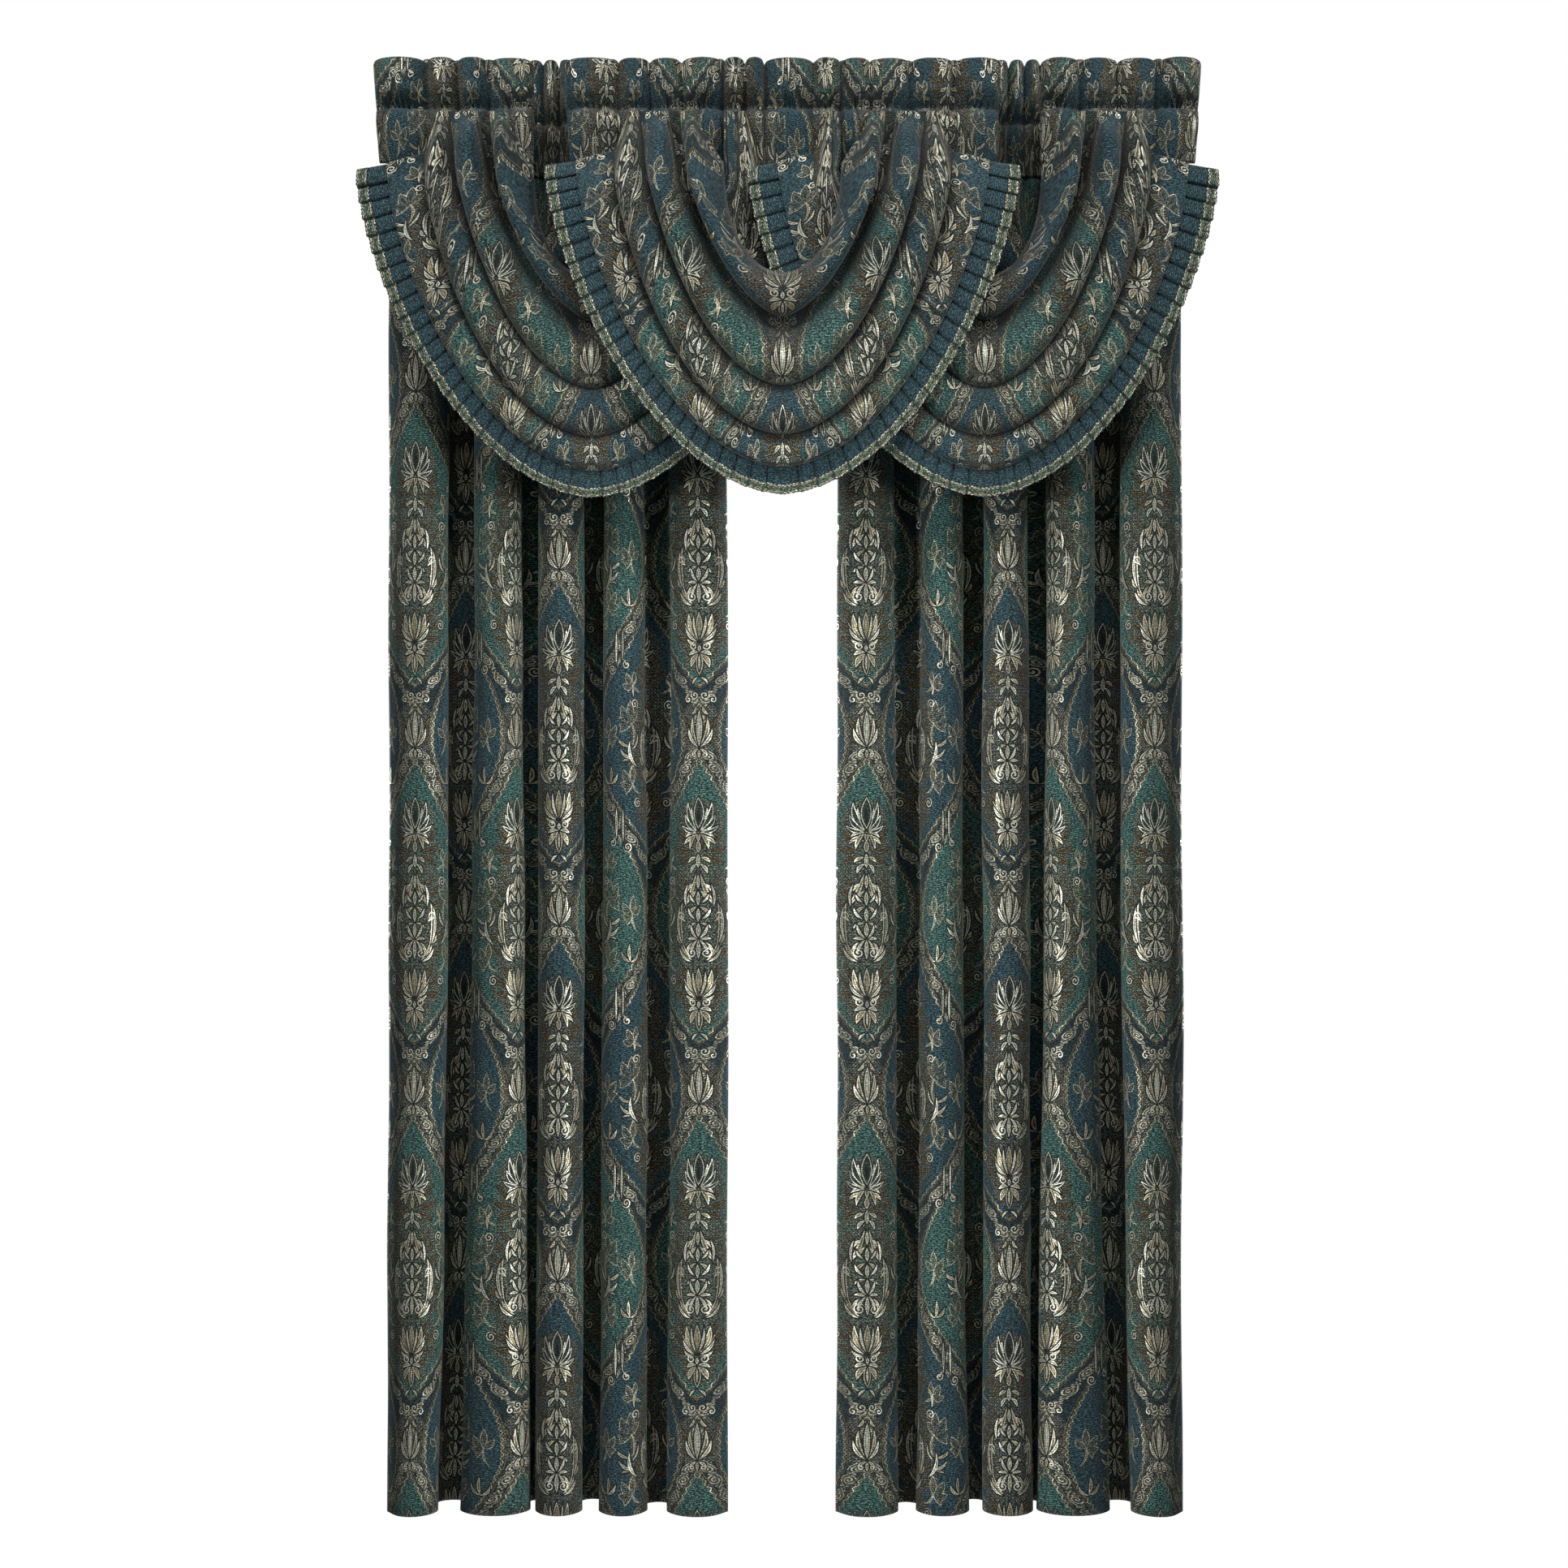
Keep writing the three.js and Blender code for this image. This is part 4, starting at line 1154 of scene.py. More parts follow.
# %% Outlined leaves
VINE_PETALS = [
    # a leaf beside the vase, one above the heart and one beside the lily, each with a stalk
    (57, 208, 75, 181, 7.0, 3), (58, 206, 59, 174, 6.4, 0), (57, 208, 83, 199, 6.8, 3),
    (57, 207, 78, 219, 5.6, -3), (54, 236, 57, 206, 1.3, -4), (58, 207, 43, 190, 5.4, 2),
    (56, 294, 73, 274, 5.6, 3), (56, 294, 55, 267, 5.2, 0), (56, 294, 78, 293, 5.6, 3),
    (42, 308, 56, 293, 1.2, 3), (56, 294, 68, 309, 4.6, -3), (54, 152, 66, 134, 5.0, 2),
    (54, 152, 73, 151, 5.0, 2), (40, 160, 54, 152, 1.2, 1), (54, 152, 51, 131, 4.6, -2),
    # and one outside the bud, in the next column's cell
    (57, 484, 74, 468, 5.4, 3), (57, 484, 56, 457, 5.0, 0), (57, 484, 76, 486, 5.0, 3),
    (57, 484, 41, 472, 4.6, -2), (57, 484, 66, 499, 4.4, -3), (50, 508, 57, 484, 1.2, 3),
]
BACKING = [  # half width, down the repeat, of the dark backing with its filigree
    (0, 8), (20, 0), (48, 0), (62, 16), (92, 38), (108, 34), (130, 46), (150, 36), (170, 44),
    (215, 58), (262, 64), (286, 54), (297, 40), (318, 50), (340, 50), (356, 34), (372, 28),
    (390, 14), (398, 0), (420, 0), (434, 10), (446, 26), (470, 34), (495, 30), (508, 16), (517, 8),
]
VOLUTES = [  # centre across, centre along, turn, size
    *(
        (round(x * SLIM, 1), y, turn, round(size * 0.9, 1))
        for x, y, turn, size in (
            (13, 281, 0.0, 8.5), (11, 353, 0.3, 7.0), (37, 228, 0.6, 7.0),
            (9, 424, 0.1, 7.0), (23, 430, 0.5, 6.0), (9, 510, 0.6, 5.0),
        )
    ),
    (66, 121, 0.2, 6.5), (66, 386, 0.7, 7.5), (50, 178, 0.4, 7.5), (46, 322, 0.1, 7.5),
]
print(len(VINE_PETALS), "leaflets and stalks,", len(VOLUTES), "volutes")

# %% [markdown]
# ## Drawing the petals
# A petal could be a curve object or a painted mask. As a distance it costs a few vector
# nodes, three petals at a time, and one number then gives the petal, its dark rim, its
# inner line and its hatching. The same number is what a weaver calls the figure's outline.

# %% Distance to the petals
def petal_distance(net, across, along, table):
    """The least distance outside any petal of a table, in millimetres. Along a petal q
    runs from 0 at its root to 1 at its tip, p is q(1-q), its middle line is 4 p bend to
    one side, and it ends 4 p half widths from there. Three petals share each vector."""
    root_x, root_y, tip_x, tip_y, half, bend = np.array(table, float).T
    length = np.hypot(tip_x - root_x, tip_y - root_y)
    dx, dy = (tip_x - root_x) / length, (tip_y - root_y) / length
    start = -(dx * root_x + dy * root_y)
    side = dy * root_x - dx * root_y

    def vector(values):
        return tuple(float(value) for value in values)

    nearest = None
    for k in range(0, len(table), 3):
        part = slice(k, k + 3)
        size = length[part]
        q = net.vector("MULTIPLY_ADD", along, vector(dy[part] / size), vector(start[part] / size))
        q = net.vector("MULTIPLY_ADD", across, vector(dx[part] / size), q)
        t = net.vector("MULTIPLY_ADD", along, vector(dx[part]), vector(side[part]))
        t = net.vector("MULTIPLY_ADD", across, vector(-dy[part]), t)
        p = net.vector("MULTIPLY", q, net.vector("SUBTRACT", (1.0, 1.0, 1.0), q))
        t = net.vector("MULTIPLY_ADD", p, vector(-4 * bend[part]), t)
        away = net.vector("MULTIPLY_ADD", p, vector(-4 * half[part]), net.vector("ABSOLUTE", t))
        nearest = away if nearest is None else net.vector("MINIMUM", nearest, away)
    parts = net.node("SeparateXYZ")
    net.feed(parts.inputs[0], nearest)
    return net.least(net.least(parts.outputs[0], parts.outputs[1]), parts.outputs[2])


def inset_line(net, distance, inset, half, strength):
    """A line inside a petal, at this distance from its edge."""
    return net.mul(net.line(net.add(distance, inset), half), strength)


def vermicelli(net, across, along):
    """Near 0 on curling lines: |cos a sin b|, of two waves that are each bent by the
    other's direction."""
    a = net.muladd(net.math("SINE", net.mul(along, 0.62)), 1.9, net.mul(across, 0.72))
    b = net.muladd(net.math("SINE", net.mul(across, 0.55)), 1.9, net.mul(along, 0.66))
    return net.math("ABSOLUTE", net.mul(net.math("COSINE", a), net.math("SINE", b)))


# %% Ornament
INSIDE = (0.35, -0.35)  # an edge fades from none to all between these distances
RIMS = dict(  # distances outside a petal where its dark rim ends, and where it is full
    ivory=(2.5, 1.4), gold=(2.3, 1.3), brown=(1.7, 0.9)
)
CORE_BELOW = (112.0, 106.0)  # only the lotus has dark cores in its ivory petals
HATCH_SLANT, HATCH_TURN = 0.8, 2.6
BACKING_TALL = 64  # the curve's scale, its widest place
BACKING_TONE = 0.62  # how dark the backing is
FILIGREE = (0.24, 0.08)  # how near a curling line the filigree starts and is full


def ornament_group(parts):
    """Masks of the axis ornament. Yarn is 1 on any light thread, and Tone says how much of
    it is ivory; Cover is 1 on and close round the ornament."""
    tree, net, given, out = new_group(
        "Ornament", [("Across", 0.0), ("Along", 0.0)], ["Yarn", "Tone", "Brown", "Dark", "Cover"]
    )
    flat = [given["Across"], given["Along"]]
    wide = []
    for value in flat:
        three = net.node("CombineXYZ")
        for socket in three.inputs:
            net.feed(socket, value)
        wide.append(three.outputs[0])
    ivory = petal_distance(net, *wide, IVORY_PETALS)
    gold = petal_distance(net, *wide, GOLD_PETALS)
    brown = petal_distance(net, *wide, BROWN_PETALS)
    vine = petal_distance(net, *wide, VINE_PETALS)
    curls, curl_fills = [], []
    for x, y, turn, size in VOLUTES:
        place = net.group(
            parts["polar"], Across=flat[0], Along=flat[1],
            Centre_across=float(x), Centre_along=float(y), Turn=turn,
        )
        curl = net.group(parts["scroll"], Radius=place["Radius"], Angle=place["Angle"], Size=size)
        curls.append(curl["Line"])
        curl_fills.append(curl["Fill"])
    curl, curl_fill = net.most(*curls), net.most(*curl_fills)
    in_ivory, in_gold, in_brown = (net.step(petal, *INSIDE) for petal in (ivory, gold, brown))
    over = net.most(in_ivory, curl)
    ivory_rim = net.mul(net.step(ivory, *RIMS["ivory"]), net.sub(1.0, over))
    gold_rim = net.step(gold, *RIMS["gold"])
    brown_rim = net.step(brown, *RIMS["brown"])
    gold_edge = inset_line(net, gold, 0.7, 0.5, 0.8)
    brown_edge = inset_line(net, brown, 0.7, 0.3, 0.45)
    vine_edge = net.most(net.line(vine, 0.7), inset_line(net, vine, 3.2, 0.3, 0.6))
    gold_ring = inset_line(net, gold, 2.3, 0.3, 0.85)
    ivory_core = net.mul(net.step(ivory, -1.0, -1.5), net.step(flat[1], *CORE_BELOW))
    ivory_ring = inset_line(net, ivory, 1.9, 0.25, 0.85)
    light = net.mul(net.sub(net.most(in_gold, brown_edge), gold_ring), net.sub(1.0, ivory_rim))
    strokes = net.most(net.mul(in_ivory, net.sub(1.0, net.most(ivory_core, ivory_ring))), curl)
    yarn = net.most(net.mul(light, net.sub(1.0, in_ivory)), strokes, net.mul(vine_edge, 0.8))
    slanted = net.muladd(flat[0], HATCH_SLANT, flat[1])
    hatch = net.math("SINE", net.mul(slanted, HATCH_TURN))
    hatched = net.mul(net.muladd(hatch, 0.3, 0.2), in_gold)
    brown_free = net.mul(in_brown, net.sub(1.0, net.most(gold_rim, ivory_rim)))
    curling = vermicelli(net, *flat)
    backing = net.sub(flat[0], net.curve(flat[1], BACKING, REPEAT, BACKING_TALL))
    in_backing = net.step(backing, 3.0, -5.0)
    filigree = net.mul(net.step(curling, *FILIGREE), in_backing)
    filigree_tone = net.mul(filigree, 0.4)
    tones = (strokes, net.mul(vine_edge, 0.5), net.mul(gold_edge, in_gold), hatched, filigree_tone)
    net.feed(out["Tone"], net.most(*tones))
    net.feed(out["Brown"], net.most(brown_free, net.mul(net.step(vine, 0.0, -0.6), 0.3)))
    rims = net.most(ivory_rim, gold_rim, brown_rim, curl_fill, net.mul(ivory_core, 0.8))
    net.feed(out["Dark"], net.most(rims, net.mul(in_backing, BACKING_TONE)))
    free = net.sub(1.0, net.most(rims, brown_free))
    net.feed(out["Yarn"], net.most(yarn, net.mul(net.mul(filigree, 0.52), free)))
    covers = (ivory_rim, in_ivory, gold_rim, brown_rim, curl_fill, net.step(vine, 1.0, 0.2))
    net.feed(out["Cover"], net.most(*covers))
    return tree


# %% [markdown]
# ## Threads
# The ground is chenille: a fuzzy weft of uneven thickness that catches light in short
# slubs. Long noise along the weft makes the slubs, short noise the specks of pile, and a
# wave of one pick the rows. The light figure is smooth metallic rayon, so its material
# takes less of this shade and more gloss.

# %% Chenille
PICK = 3.1  # from one thick weft thread to the next
NOISE_SCALE = 0.66
SLUB_ALONG = 0.28  # a slub is longer than thick: its noise runs slower along the weft
SPECK_ALONG, SPECK_SLANT = 0.6, 0.35
SLUB_DARK, SLUB_LIGHT = 0.26, 1.51  # times the yarn's colour
SPECK_DARK, SPECK_LIGHT = 0.16, 1.96
TWILL, TWILL_SLANT = 0.5, 0.16  # the rows of picks climb a little from left to right


def weft_noise(net, u, v, along, slant, detail):
    """Noise at (along u + slant v, v), with more detail the finer its grain."""
    point = net.node("CombineXYZ")
    x = net.mul(u, along)
    net.feed(point.inputs[0], net.muladd(v, slant, x) if slant else x)
    net.feed(point.inputs[1], v)
    noise = net.node("TexNoise", noise_dimensions="2D")
    noise.inputs["Scale"].default_value = NOISE_SCALE
    noise.inputs["Detail"].default_value = detail
    net.feed(noise.inputs["Vector"], point.outputs[0])
    return noise.outputs[0]


def chenille_group():
    """The ground's slubs: noise drawn out along the weft, and finer specks on top. Shade
    multiplies the colour, Height feeds the bump."""
    tree, net, given, out = new_group("Chenille", [("U", 0.0), ("V", 0.0)], ["Shade", "Height"])
    slub = weft_noise(net, given["U"], given["V"], SLUB_ALONG, 0, 3.0)
    speck = weft_noise(net, given["U"], given["V"], SPECK_ALONG, SPECK_SLANT, 1.0)
    shade = net.muladd(net.step(slub, 0.4, 0.58), SLUB_LIGHT - SLUB_DARK, SLUB_DARK)
    fine = net.muladd(net.step(speck, 0.38, 0.62), SPECK_LIGHT - SPECK_DARK, SPECK_DARK)
    picks = net.muladd(given["U"], TWILL_SLANT, given["V"])
    weft = net.math("SINE", net.muladd(picks, 2 * math.pi / PICK, net.mul(slub, 5.0)))
    twill = net.muladd(weft, TWILL, 1.0)
    net.feed(out["Shade"], net.mul(net.mul(shade, fine), twill))
    net.feed(out["Height"], net.muladd(speck, 0.6, slub))
    return tree


# %% The whole figure
def damask_group(parts):
    """The whole figure. Yarn is 1 on light threads and Tone their share of ivory; Brown,
    Dark and Blue are masks over the green ground; Shade and Height are the ground's own."""
    tree, net, given, out = new_group(
        "Damask", [("Cloth", None)], ["Yarn", "Tone", "Brown", "Dark", "Blue", "Shade", "Height"]
    )
    fold = net.group(parts["half drop"], Cloth=given[0])
    across, along, odd = fold["Across"], fold["Along"], fold["Odd"]
    band = net.group(parts["band"], Across=across, Along=along)
    figure = net.group(parts["ornament"], Across=across, Along=along)
    free = net.sub(1.0, figure["Cover"])
    own = net.step(band["Outside"], 0.4, -0.4)
    following = net.step(band["Next outside"], 0.4, -0.4)
    in_band = net.sub(1.0, net.most(own, following))
    odd_cell = net.most(net.mul(own, odd), net.mul(following, net.sub(1.0, odd)))
    blue = net.most(odd_cell, in_band)
    band_yarn = net.most(band["Yarn"], net.mul(band["Scrolls"], 0.8))
    band_tone = net.most(net.mul(band["Tone"], 0.7), net.mul(band["Scrolls"], 0.6))
    yarn = net.most(figure["Yarn"], net.mul(band_yarn, free))
    tone = net.most(figure["Tone"], net.mul(band_tone, free))
    dark = net.most(figure["Dark"], net.mul(in_band, 0.6))
    threads = net.group(parts["chenille"], U=fold["U"], V=fold["V"])
    values = (yarn, tone, figure["Brown"], dark, blue, threads["Shade"], threads["Height"])
    for socket, value in zip(out, values):
        net.feed(socket, value)
    return tree


# %% [markdown]
# ## The cloth's colours
# A jacquard has a few warps and wefts that change places: teal green, teal blue, ivory,
# gold, brown and a near-black binder. The face shows them as drawn. The reverse shows the
# same figure paler and greyer, because the other yarns float there.

# %% Node groups
PARTS = {}
PARTS["half drop"] = half_drop_group()
PARTS["polar"] = polar_group()
PARTS["spray"] = leaf_group("Spray", SPRAY, 2)
PARTS["scroll"] = scroll_group()
PARTS["chain"] = chain_group()
PARTS["chenille"] = chenille_group()
PARTS["band"] = band_group(PARTS)
PARTS["ornament"] = ornament_group(PARTS)
PARTS["damask"] = damask_group(PARTS)
print({name: len(group.nodes) for name, group in PARTS.items()}, "nodes")

# %% Jacquard
YARNS = dict(
    green=thread("3f645e"), blue=thread("2d4b53"), ivory=thread("e6e8d4"),
    gold=thread("9c8854"), brown=thread("463e2a"), dark=thread("131b1a"),
)
REVERSE_YARNS = dict(
    green=thread("5f7b78"), blue=thread("4a6068"), ivory=thread("8f8f8c"),
    gold=thread("7d7a70"), brown=thread("6a675f"), dark=thread("3a4548"),
)
OPEN_PAINTED_LIGHT, CREASE_PAINTED_SHADE = 1.04, 0.3  # of the yarn's colour: a little painted light on open cloth, and painted shade deep in a crease
PILE_ROUGHNESS = 0.85
YARN_SMOOTHER, YARN_METAL = 0.53, 0.5  # how much smoother light yarn is, and its glint
YARN_CALM = 0.6  # light yarn is spun evenly, so it shows less of the slubs
SLUB_HEIGHT, SLUB_STRENGTH = 0.0009, 0.45


def new_material(name, sheen):
    """A material with the pile's sheen, its net and its shader."""
    material = bpy.data.materials.new(name)
    material.use_nodes = True
    shader = material.node_tree.nodes["Principled BSDF"]
    shader.inputs["Sheen Weight"].default_value = sheen
    shader.inputs["Sheen Roughness"].default_value = 0.5
    return material, Net(material.node_tree), shader


def jacquard_material(name, yarns):
    """Masks from the damask group lay yarn over yarn, from the ground up."""
    material, net, shader = new_material(name, sheen=0.25)
    cloth = net.node("UVMap", uv_map="cloth")
    masks = net.group(PARTS["damask"], Cloth=cloth.outputs[0])
    colour = net.colour(masks["Blue"], yarns["green"], yarns["blue"])
    colour = net.colour(masks["Dark"], colour, yarns["dark"])
    colour = net.colour(masks["Brown"], colour, yarns["brown"])
    light = net.colour(masks["Tone"], yarns["gold"], yarns["ivory"])
    colour = net.colour(masks["Yarn"], colour, light)
    calm = net.muladd(masks["Yarn"], -YARN_CALM, 1.0)
    shade = net.muladd(net.sub(masks["Shade"], 1.0), calm, 1.0)
    # painted shade: the mesh's attribute darkens the colour in creases and tucks, and lightens it
    # a little on open cloth
    painted_light = net.node("Attribute", attribute_name="painted_light").outputs["Fac"]
    shade = net.mul(shade, net.muladd(painted_light, OPEN_PAINTED_LIGHT - CREASE_PAINTED_SHADE, CREASE_PAINTED_SHADE))
    net.feed(shader.inputs["Base Color"], net.shaded(colour, shade))
    rough = net.muladd(masks["Yarn"], -YARN_SMOOTHER, PILE_ROUGHNESS)
    net.feed(shader.inputs["Roughness"], rough)
    net.feed(shader.inputs["Metallic"], net.mul(masks["Yarn"], YARN_METAL))
    bump = net.node("Bump")
    bump.inputs["Distance"].default_value = SLUB_HEIGHT
    bump.inputs["Strength"].default_value = SLUB_STRENGTH
    net.feed(bump.inputs["Height"], masks["Height"])
    net.feed(shader.inputs["Normal"], bump.outputs[0])
    return material


JACQUARD = jacquard_material("jacquard", YARNS)
JACQUARD_REVERSE = jacquard_material("jacquard_reverse", REVERSE_YARNS)
print("jacquard and its reverse, of", len(YARNS), "yarns each")

# %% [markdown]
# ## The trim's finishes
# The ruffle is plain navy chenille, with the same slubs as the jacquard's ground. The
# braid is a woven gimp: a green strip between two gold cords, and a row of ivory loops on
# each side that reach just past its edges.

# %% Ruffle
def cloth_millimetres(net):
    """U and V of the cloth in millimetres."""
    parts = net.node("SeparateXYZ")
    net.feed(parts.inputs[0], net.node("UVMap", uv_map="cloth").outputs[0])
    return [net.mul(socket, 1 / MM) for socket in parts.outputs[:2]]


def ruffle_material():
    """Plain navy chenille with the same slubs as the jacquard's ground."""
    material, net, shader = new_material("ruffle", sheen=0.25)
    u, v = cloth_millimetres(net)
    threads = net.group(PARTS["chenille"], U=u, V=v)
    net.feed(shader.inputs["Base Color"], net.shaded(thread("2c4a52")[:3], threads["Shade"]))
    shader.inputs["Roughness"].default_value = PILE_ROUGHNESS
    return material


RUFFLE_FABRIC = [ruffle_material()] * 2
print("finish:", RUFFLE_FABRIC[0].name)

# %% Braid
# distances from the braid's middle line, in millimetres
STRIP_EDGE = (3.6, 3.0)  # the green strip's edge fades between these
GOLD_LINE_AT, GOLD_CORD_AT, IVORY_CORD_AT = 1.6, 3.5, 4.9
LOOPS_AT, LOOP_HEIGHT, LOOP_WIDTH = 5.0, 1.9, 5.6
CORD_SMOOTHER = 0.35


def braid_material():
    """Across the braid, from its middle: a green strip, a gold and an ivory cord, and
    ivory loops that stand on the cord like a row of arches."""
    material, net, shader = new_material("braid", sheen=0.2)
    u, v = cloth_millimetres(net)
    side = net.math("ABSOLUTE", net.sub(v, BRAID_WIDTH / 2))
    arch = net.math("ABSOLUTE", net.math("SINE", net.mul(u, math.pi / LOOP_WIDTH)))
    loops = net.line(net.sub(side, net.muladd(arch, LOOP_HEIGHT, LOOPS_AT)), 0.6)
    cord = net.mul(net.line(net.sub(side, IVORY_CORD_AT), 0.25), 0.7)
    gold = net.mul(net.line(net.sub(side, GOLD_LINE_AT), 0.1), 0.5)
    gold = net.most(net.line(net.sub(side, GOLD_CORD_AT), 0.35), gold)
    strip = net.step(side, *STRIP_EDGE)
    threads = net.group(PARTS["chenille"], U=u, V=v)
    colour = net.colour(strip, thread("23383e"), thread("47655c"))
    colour = net.colour(gold, colour, YARNS["gold"])
    colour = net.colour(net.most(loops, cord), colour, thread("cacbb2"))
    net.feed(shader.inputs["Base Color"], net.shaded(colour, threads["Shade"]))
    cords = net.most(loops, cord, gold)
    net.feed(shader.inputs["Roughness"], net.muladd(cords, -CORD_SMOOTHER, PILE_ROUGHNESS))
    return material


BRAID_FABRIC = [braid_material()] * 2
print("finish:", BRAID_FABRIC[0].name)

# %% [markdown]
# ## Hanging the set
# A panel is 1.27 m of cloth in half a metre. A heading is the panel's own top, turned over, and
# goes with it. A swag is one curved cut, the same for all three, and its two pockets are straight
# strips. The ruffle is a straight strip too, and the braid goes with it.

# %% Panels
FABRIC = [JACQUARD, JACQUARD_REVERSE]
PANEL_LOBES = [22.8] * 22  # all of one width
PANEL_FULNESS = 2.5
HEADING_RISE = 22  # a panel's heading shows above the swags' in front of it


def finish_piece(piece, node, materials):
    """Gives a piece its materials, hides the node it stands for, and hangs it on the root body."""
    for material in materials:
        piece.data.materials.append(material)
    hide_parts(node)
    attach(piece, "root")
    print(piece.name, len(piece.data.polygons) * 2, "triangles")
    return piece


for side, mirrored, seed in (("left", False, 3), ("right", True, 11)):
    node = "panel_" + side
    grid, uv = panel_grid(node, mirrored, seed)
    cloth = cloth_sheet(node + "_cloth", grid, CLOTH, uv)
    finish_piece(cloth, node, FABRIC)
    top = node + "_header"
    heading = header_sheet(
        node + "_heading", top, PANEL_LOBES, (0, 0), BACK_ROD_Y, seed, PANEL_FULNESS,
        rise=HEADING_RISE,
    )
    finish_piece(heading, top, FABRIC)

# %% Pockets of the swags
HEADERS = {
    # lobe widths, lean of the low-X and the high-X end, seed
    "valance_left_header_outer": ((78, 44, 46, 65), (10, 0), 21),
    "valance_centre_header_left": ((78, 46, 46, 61), (8, 0), 22),
    "valance_left_header_inner": ((30, 27), (0, 0), 23),
    "valance_right_header_inner": ((71, 39), (0, 0), 24),
    "valance_centre_header_right": ((43, 57, 64, 68.5), (0, -8), 25),
    "valance_right_header_outer": ((56, 54, 58, 65), (0, -10), 26),
}
POCKET_FULNESS = 1.4
INNER_ALLOWANCE = 12  # a short pocket reaches this far under the swag beside it
for node, (lobes, leans, seed) in HEADERS.items():
    allowance = INNER_ALLOWANCE if node.endswith("header_inner") else 0
    pocket = header_sheet(
        node + "_cloth", node, lobes, leans, 0.0, seed, POCKET_FULNESS, allowance
    )
    finish_piece(pocket, node, FABRIC)

# %% Swags with their trim
for name, seed in (("valance_left", 31), ("valance_right", 32), ("valance_centre", 33)):
    grid, uv, painted_light = swag_grid(name, seed)
    cloth = cloth_sheet(name + "_cloth", grid, CLOTH, uv, painted_light)
    finish_piece(cloth, name + "_swag", FABRIC)
    grid, uv = ruffle_grid(name)
    ruffle = cloth_sheet(name + "_pleats", grid, RUFFLE_CLOTH, uv)
    finish_piece(ruffle, name + "_ruffle", RUFFLE_FABRIC)
    grid, uv = braid_grid(name)
    braid = cloth_sheet(name + "_edging", grid, BRAID_CLOTH, uv)
    finish_piece(braid, name + "_braid", BRAID_FABRIC)

# %% [markdown]
# ## Camera, light and floor
# The camera looks straight at the middle of the set from 3.3 m. A long softbox on each
# side rakes the panels, so that the folds' fronts are bright and the valleys stay dark.
# Two small spots do the same for the swags. These four have narrow spreads, which keep
# each on its own part. A wide strip overhead lights the upper side of every roll, and two
# broad softboxes behind the set light its reverse. The world is white to the camera and
# nearly dark to the cloth, which is how a white studio is kept from greying it.

# %% Camera
EYE_DISTANCE, EYE_HEIGHT = 3.3, -0.9712
VIEW_WIDTH = 2.2856  # metres across the view at the front rod
SENSOR = 36  # millimetres, the width that a lens length refers to
camera = bpy.data.objects.new("camera", bpy.data.cameras.new("camera"))
camera.location = (0.0, -EYE_DISTANCE, EYE_HEIGHT)
camera.rotation_euler = (math.radians(90), 0, 0)
camera.data.lens = SENSOR * EYE_DISTANCE / VIEW_WIDTH
bpy.context.scene.collection.objects.link(camera)
bpy.context.scene.camera = camera
print("lens:", round(camera.data.lens, 2), "mm")

# %% The white studio
WORLD_ON_CLOTH, WORLD_IN_VIEW = 0.1, 1.0
world = bpy.data.worlds.new("studio")
bpy.context.scene.world = world
world.use_nodes = True
tree = world.node_tree
background = tree.nodes["Background"]
background.inputs["Color"].default_value = (1, 1, 1, 1)
path = tree.nodes.new("ShaderNodeLightPath")
strength = tree.nodes.new("ShaderNodeMapRange")
strength.inputs["To Min"].default_value = WORLD_ON_CLOTH
strength.inputs["To Max"].default_value = WORLD_IN_VIEW
tree.links.new(path.outputs["Is Camera Ray"], strength.inputs["Value"])
tree.links.new(strength.outputs["Result"], background.inputs["Strength"])
bpy.context.scene.view_settings.view_transform = "Standard"
print("world on the cloth:", WORLD_ON_CLOTH)

# %% Studio lights
PAIRED_LIGHTS = {
    # the right one of each pair: place, aim, size, power in watts, spread in degrees; a
    # softbox lights the panel across from it, and a spot the swags on its own side
    "softbox": ((2.0, -2.2, -1.4), (-0.45, 0, -1.4), (0.4, 2.0), 2.85, 28),
    "spot": ((1.9, -1.5, 1.1), (0.33, 0, -0.1), (0.4, 0.4), 0.88, 36),
    "rear": ((2.4, 2.3, -0.9), (0, 0.13, -0.95), (0.8, 2.0), 9, 60),
}
OVERHEAD = ((0.0, -1.45, 1.7), (0, 0, -0.25), (2.6, 0.3), 4.8, 75)


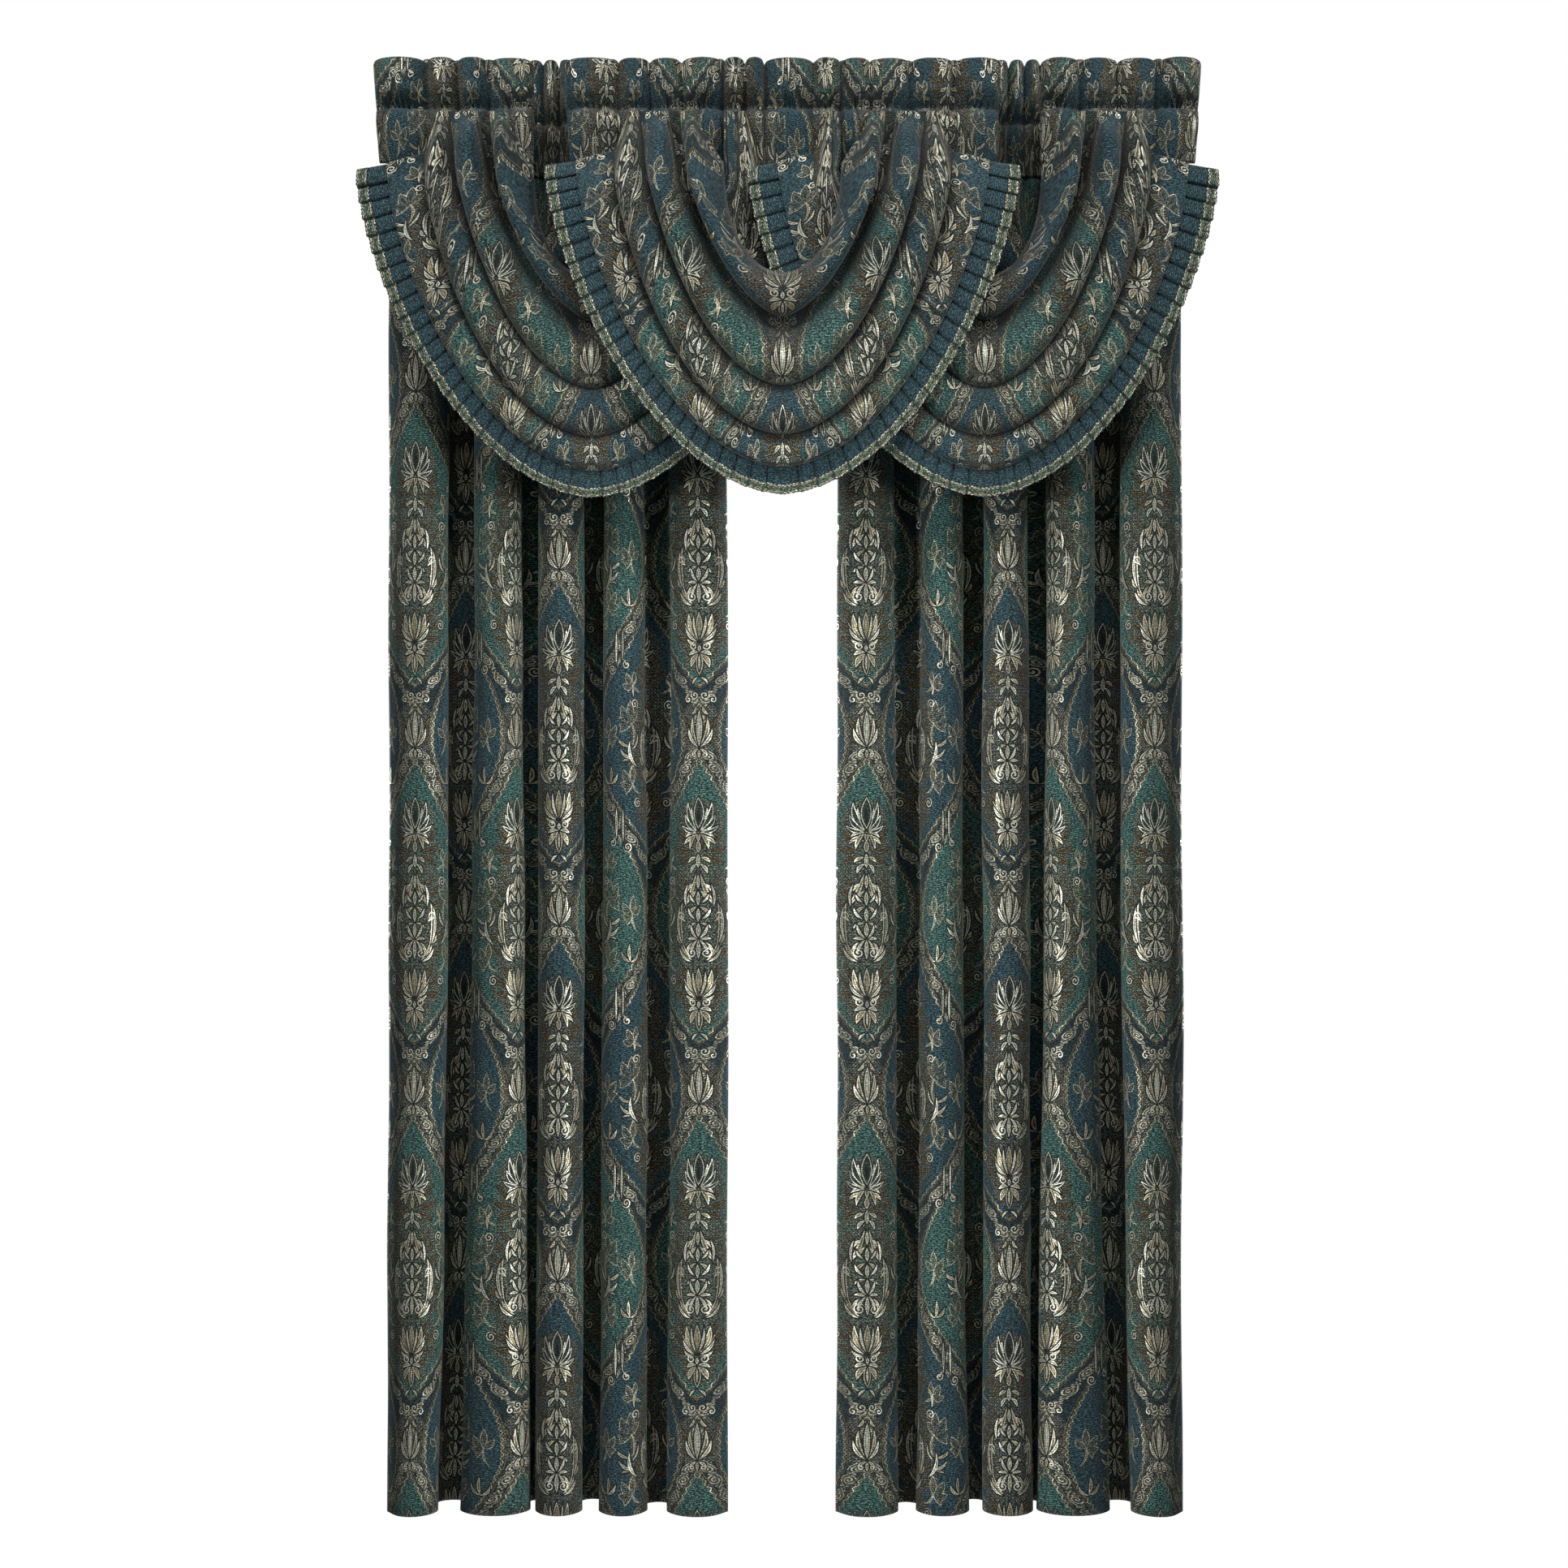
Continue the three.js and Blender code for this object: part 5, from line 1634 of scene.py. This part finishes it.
def area_light(name, place, aim, size, power, spread, sign=1):
    """A soft light at a place, turned towards a point. A sign of -1 mirrors both in X."""
    light = bpy.data.objects.new(name, bpy.data.lights.new(name, "AREA"))
    light.data.shape = "RECTANGLE"
    light.data.size, light.data.size_y = size
    light.data.energy = power
    light.data.spread = math.radians(spread)
    light.visible_camera = False
    mirror = np.array([sign, 1, 1])
    light.location = mirror * place
    x, y, z = mirror * aim - mirror * place
    light.rotation_euler = (math.atan2(math.hypot(x, y), -z), 0, math.atan2(-x, y))
    bpy.context.scene.collection.objects.link(light)
    print(name, power, "W")


for side, sign in (("left", -1), ("right", 1)):
    for kind, settings in PAIRED_LIGHTS.items():
        area_light(kind + "_" + side, *settings, sign)
area_light("overhead", *OVERHEAD)

# %% Floor
# A pale grey disc below the hems, which fades out to the white studio around it.
FLOOR_Z, FLOOR_RADIUS, FLOOR_CORNERS = -2.35, 1.5, 96
FLOOR_GREY, FLOOR_ROUGHNESS = 0.9, 0.9
FADE_START, FADE_END = 0.45, 1.45  # metres from the axis
turn = np.linspace(0, 2 * math.pi, FLOOR_CORNERS, endpoint=False)
floor_points = FLOOR_RADIUS * np.stack([np.cos(turn), np.sin(turn), 0 * turn], -1)
floor_points[:, 2] = FLOOR_Z
floor_mesh = bpy.data.meshes.new("floor")
floor_mesh.from_pydata(floor_points.tolist(), [], [list(range(FLOOR_CORNERS))])
floor = bpy.data.objects.new("floor", floor_mesh)
bpy.context.scene.collection.objects.link(floor)
floor_material = bpy.data.materials.new("floor")
floor_material.use_nodes = True
floor_shader = floor_material.node_tree.nodes["Principled BSDF"]
floor_shader.inputs["Base Color"].default_value = (FLOOR_GREY,) * 3 + (1,)
floor_shader.inputs["Roughness"].default_value = FLOOR_ROUGHNESS
net = Net(floor_material.node_tree)
distance = net.node("VectorMath", operation="LENGTH")
net.feed(distance.inputs[0], net.node("TexCoord").outputs["Object"])
fade = net.step(distance.outputs["Value"], FADE_START, FADE_END)
net.feed(floor_shader.inputs["Alpha"], net.sub(1.0, fade))
floor.data.materials.append(floor_material)
print("floor at", FLOOR_Z, "m")
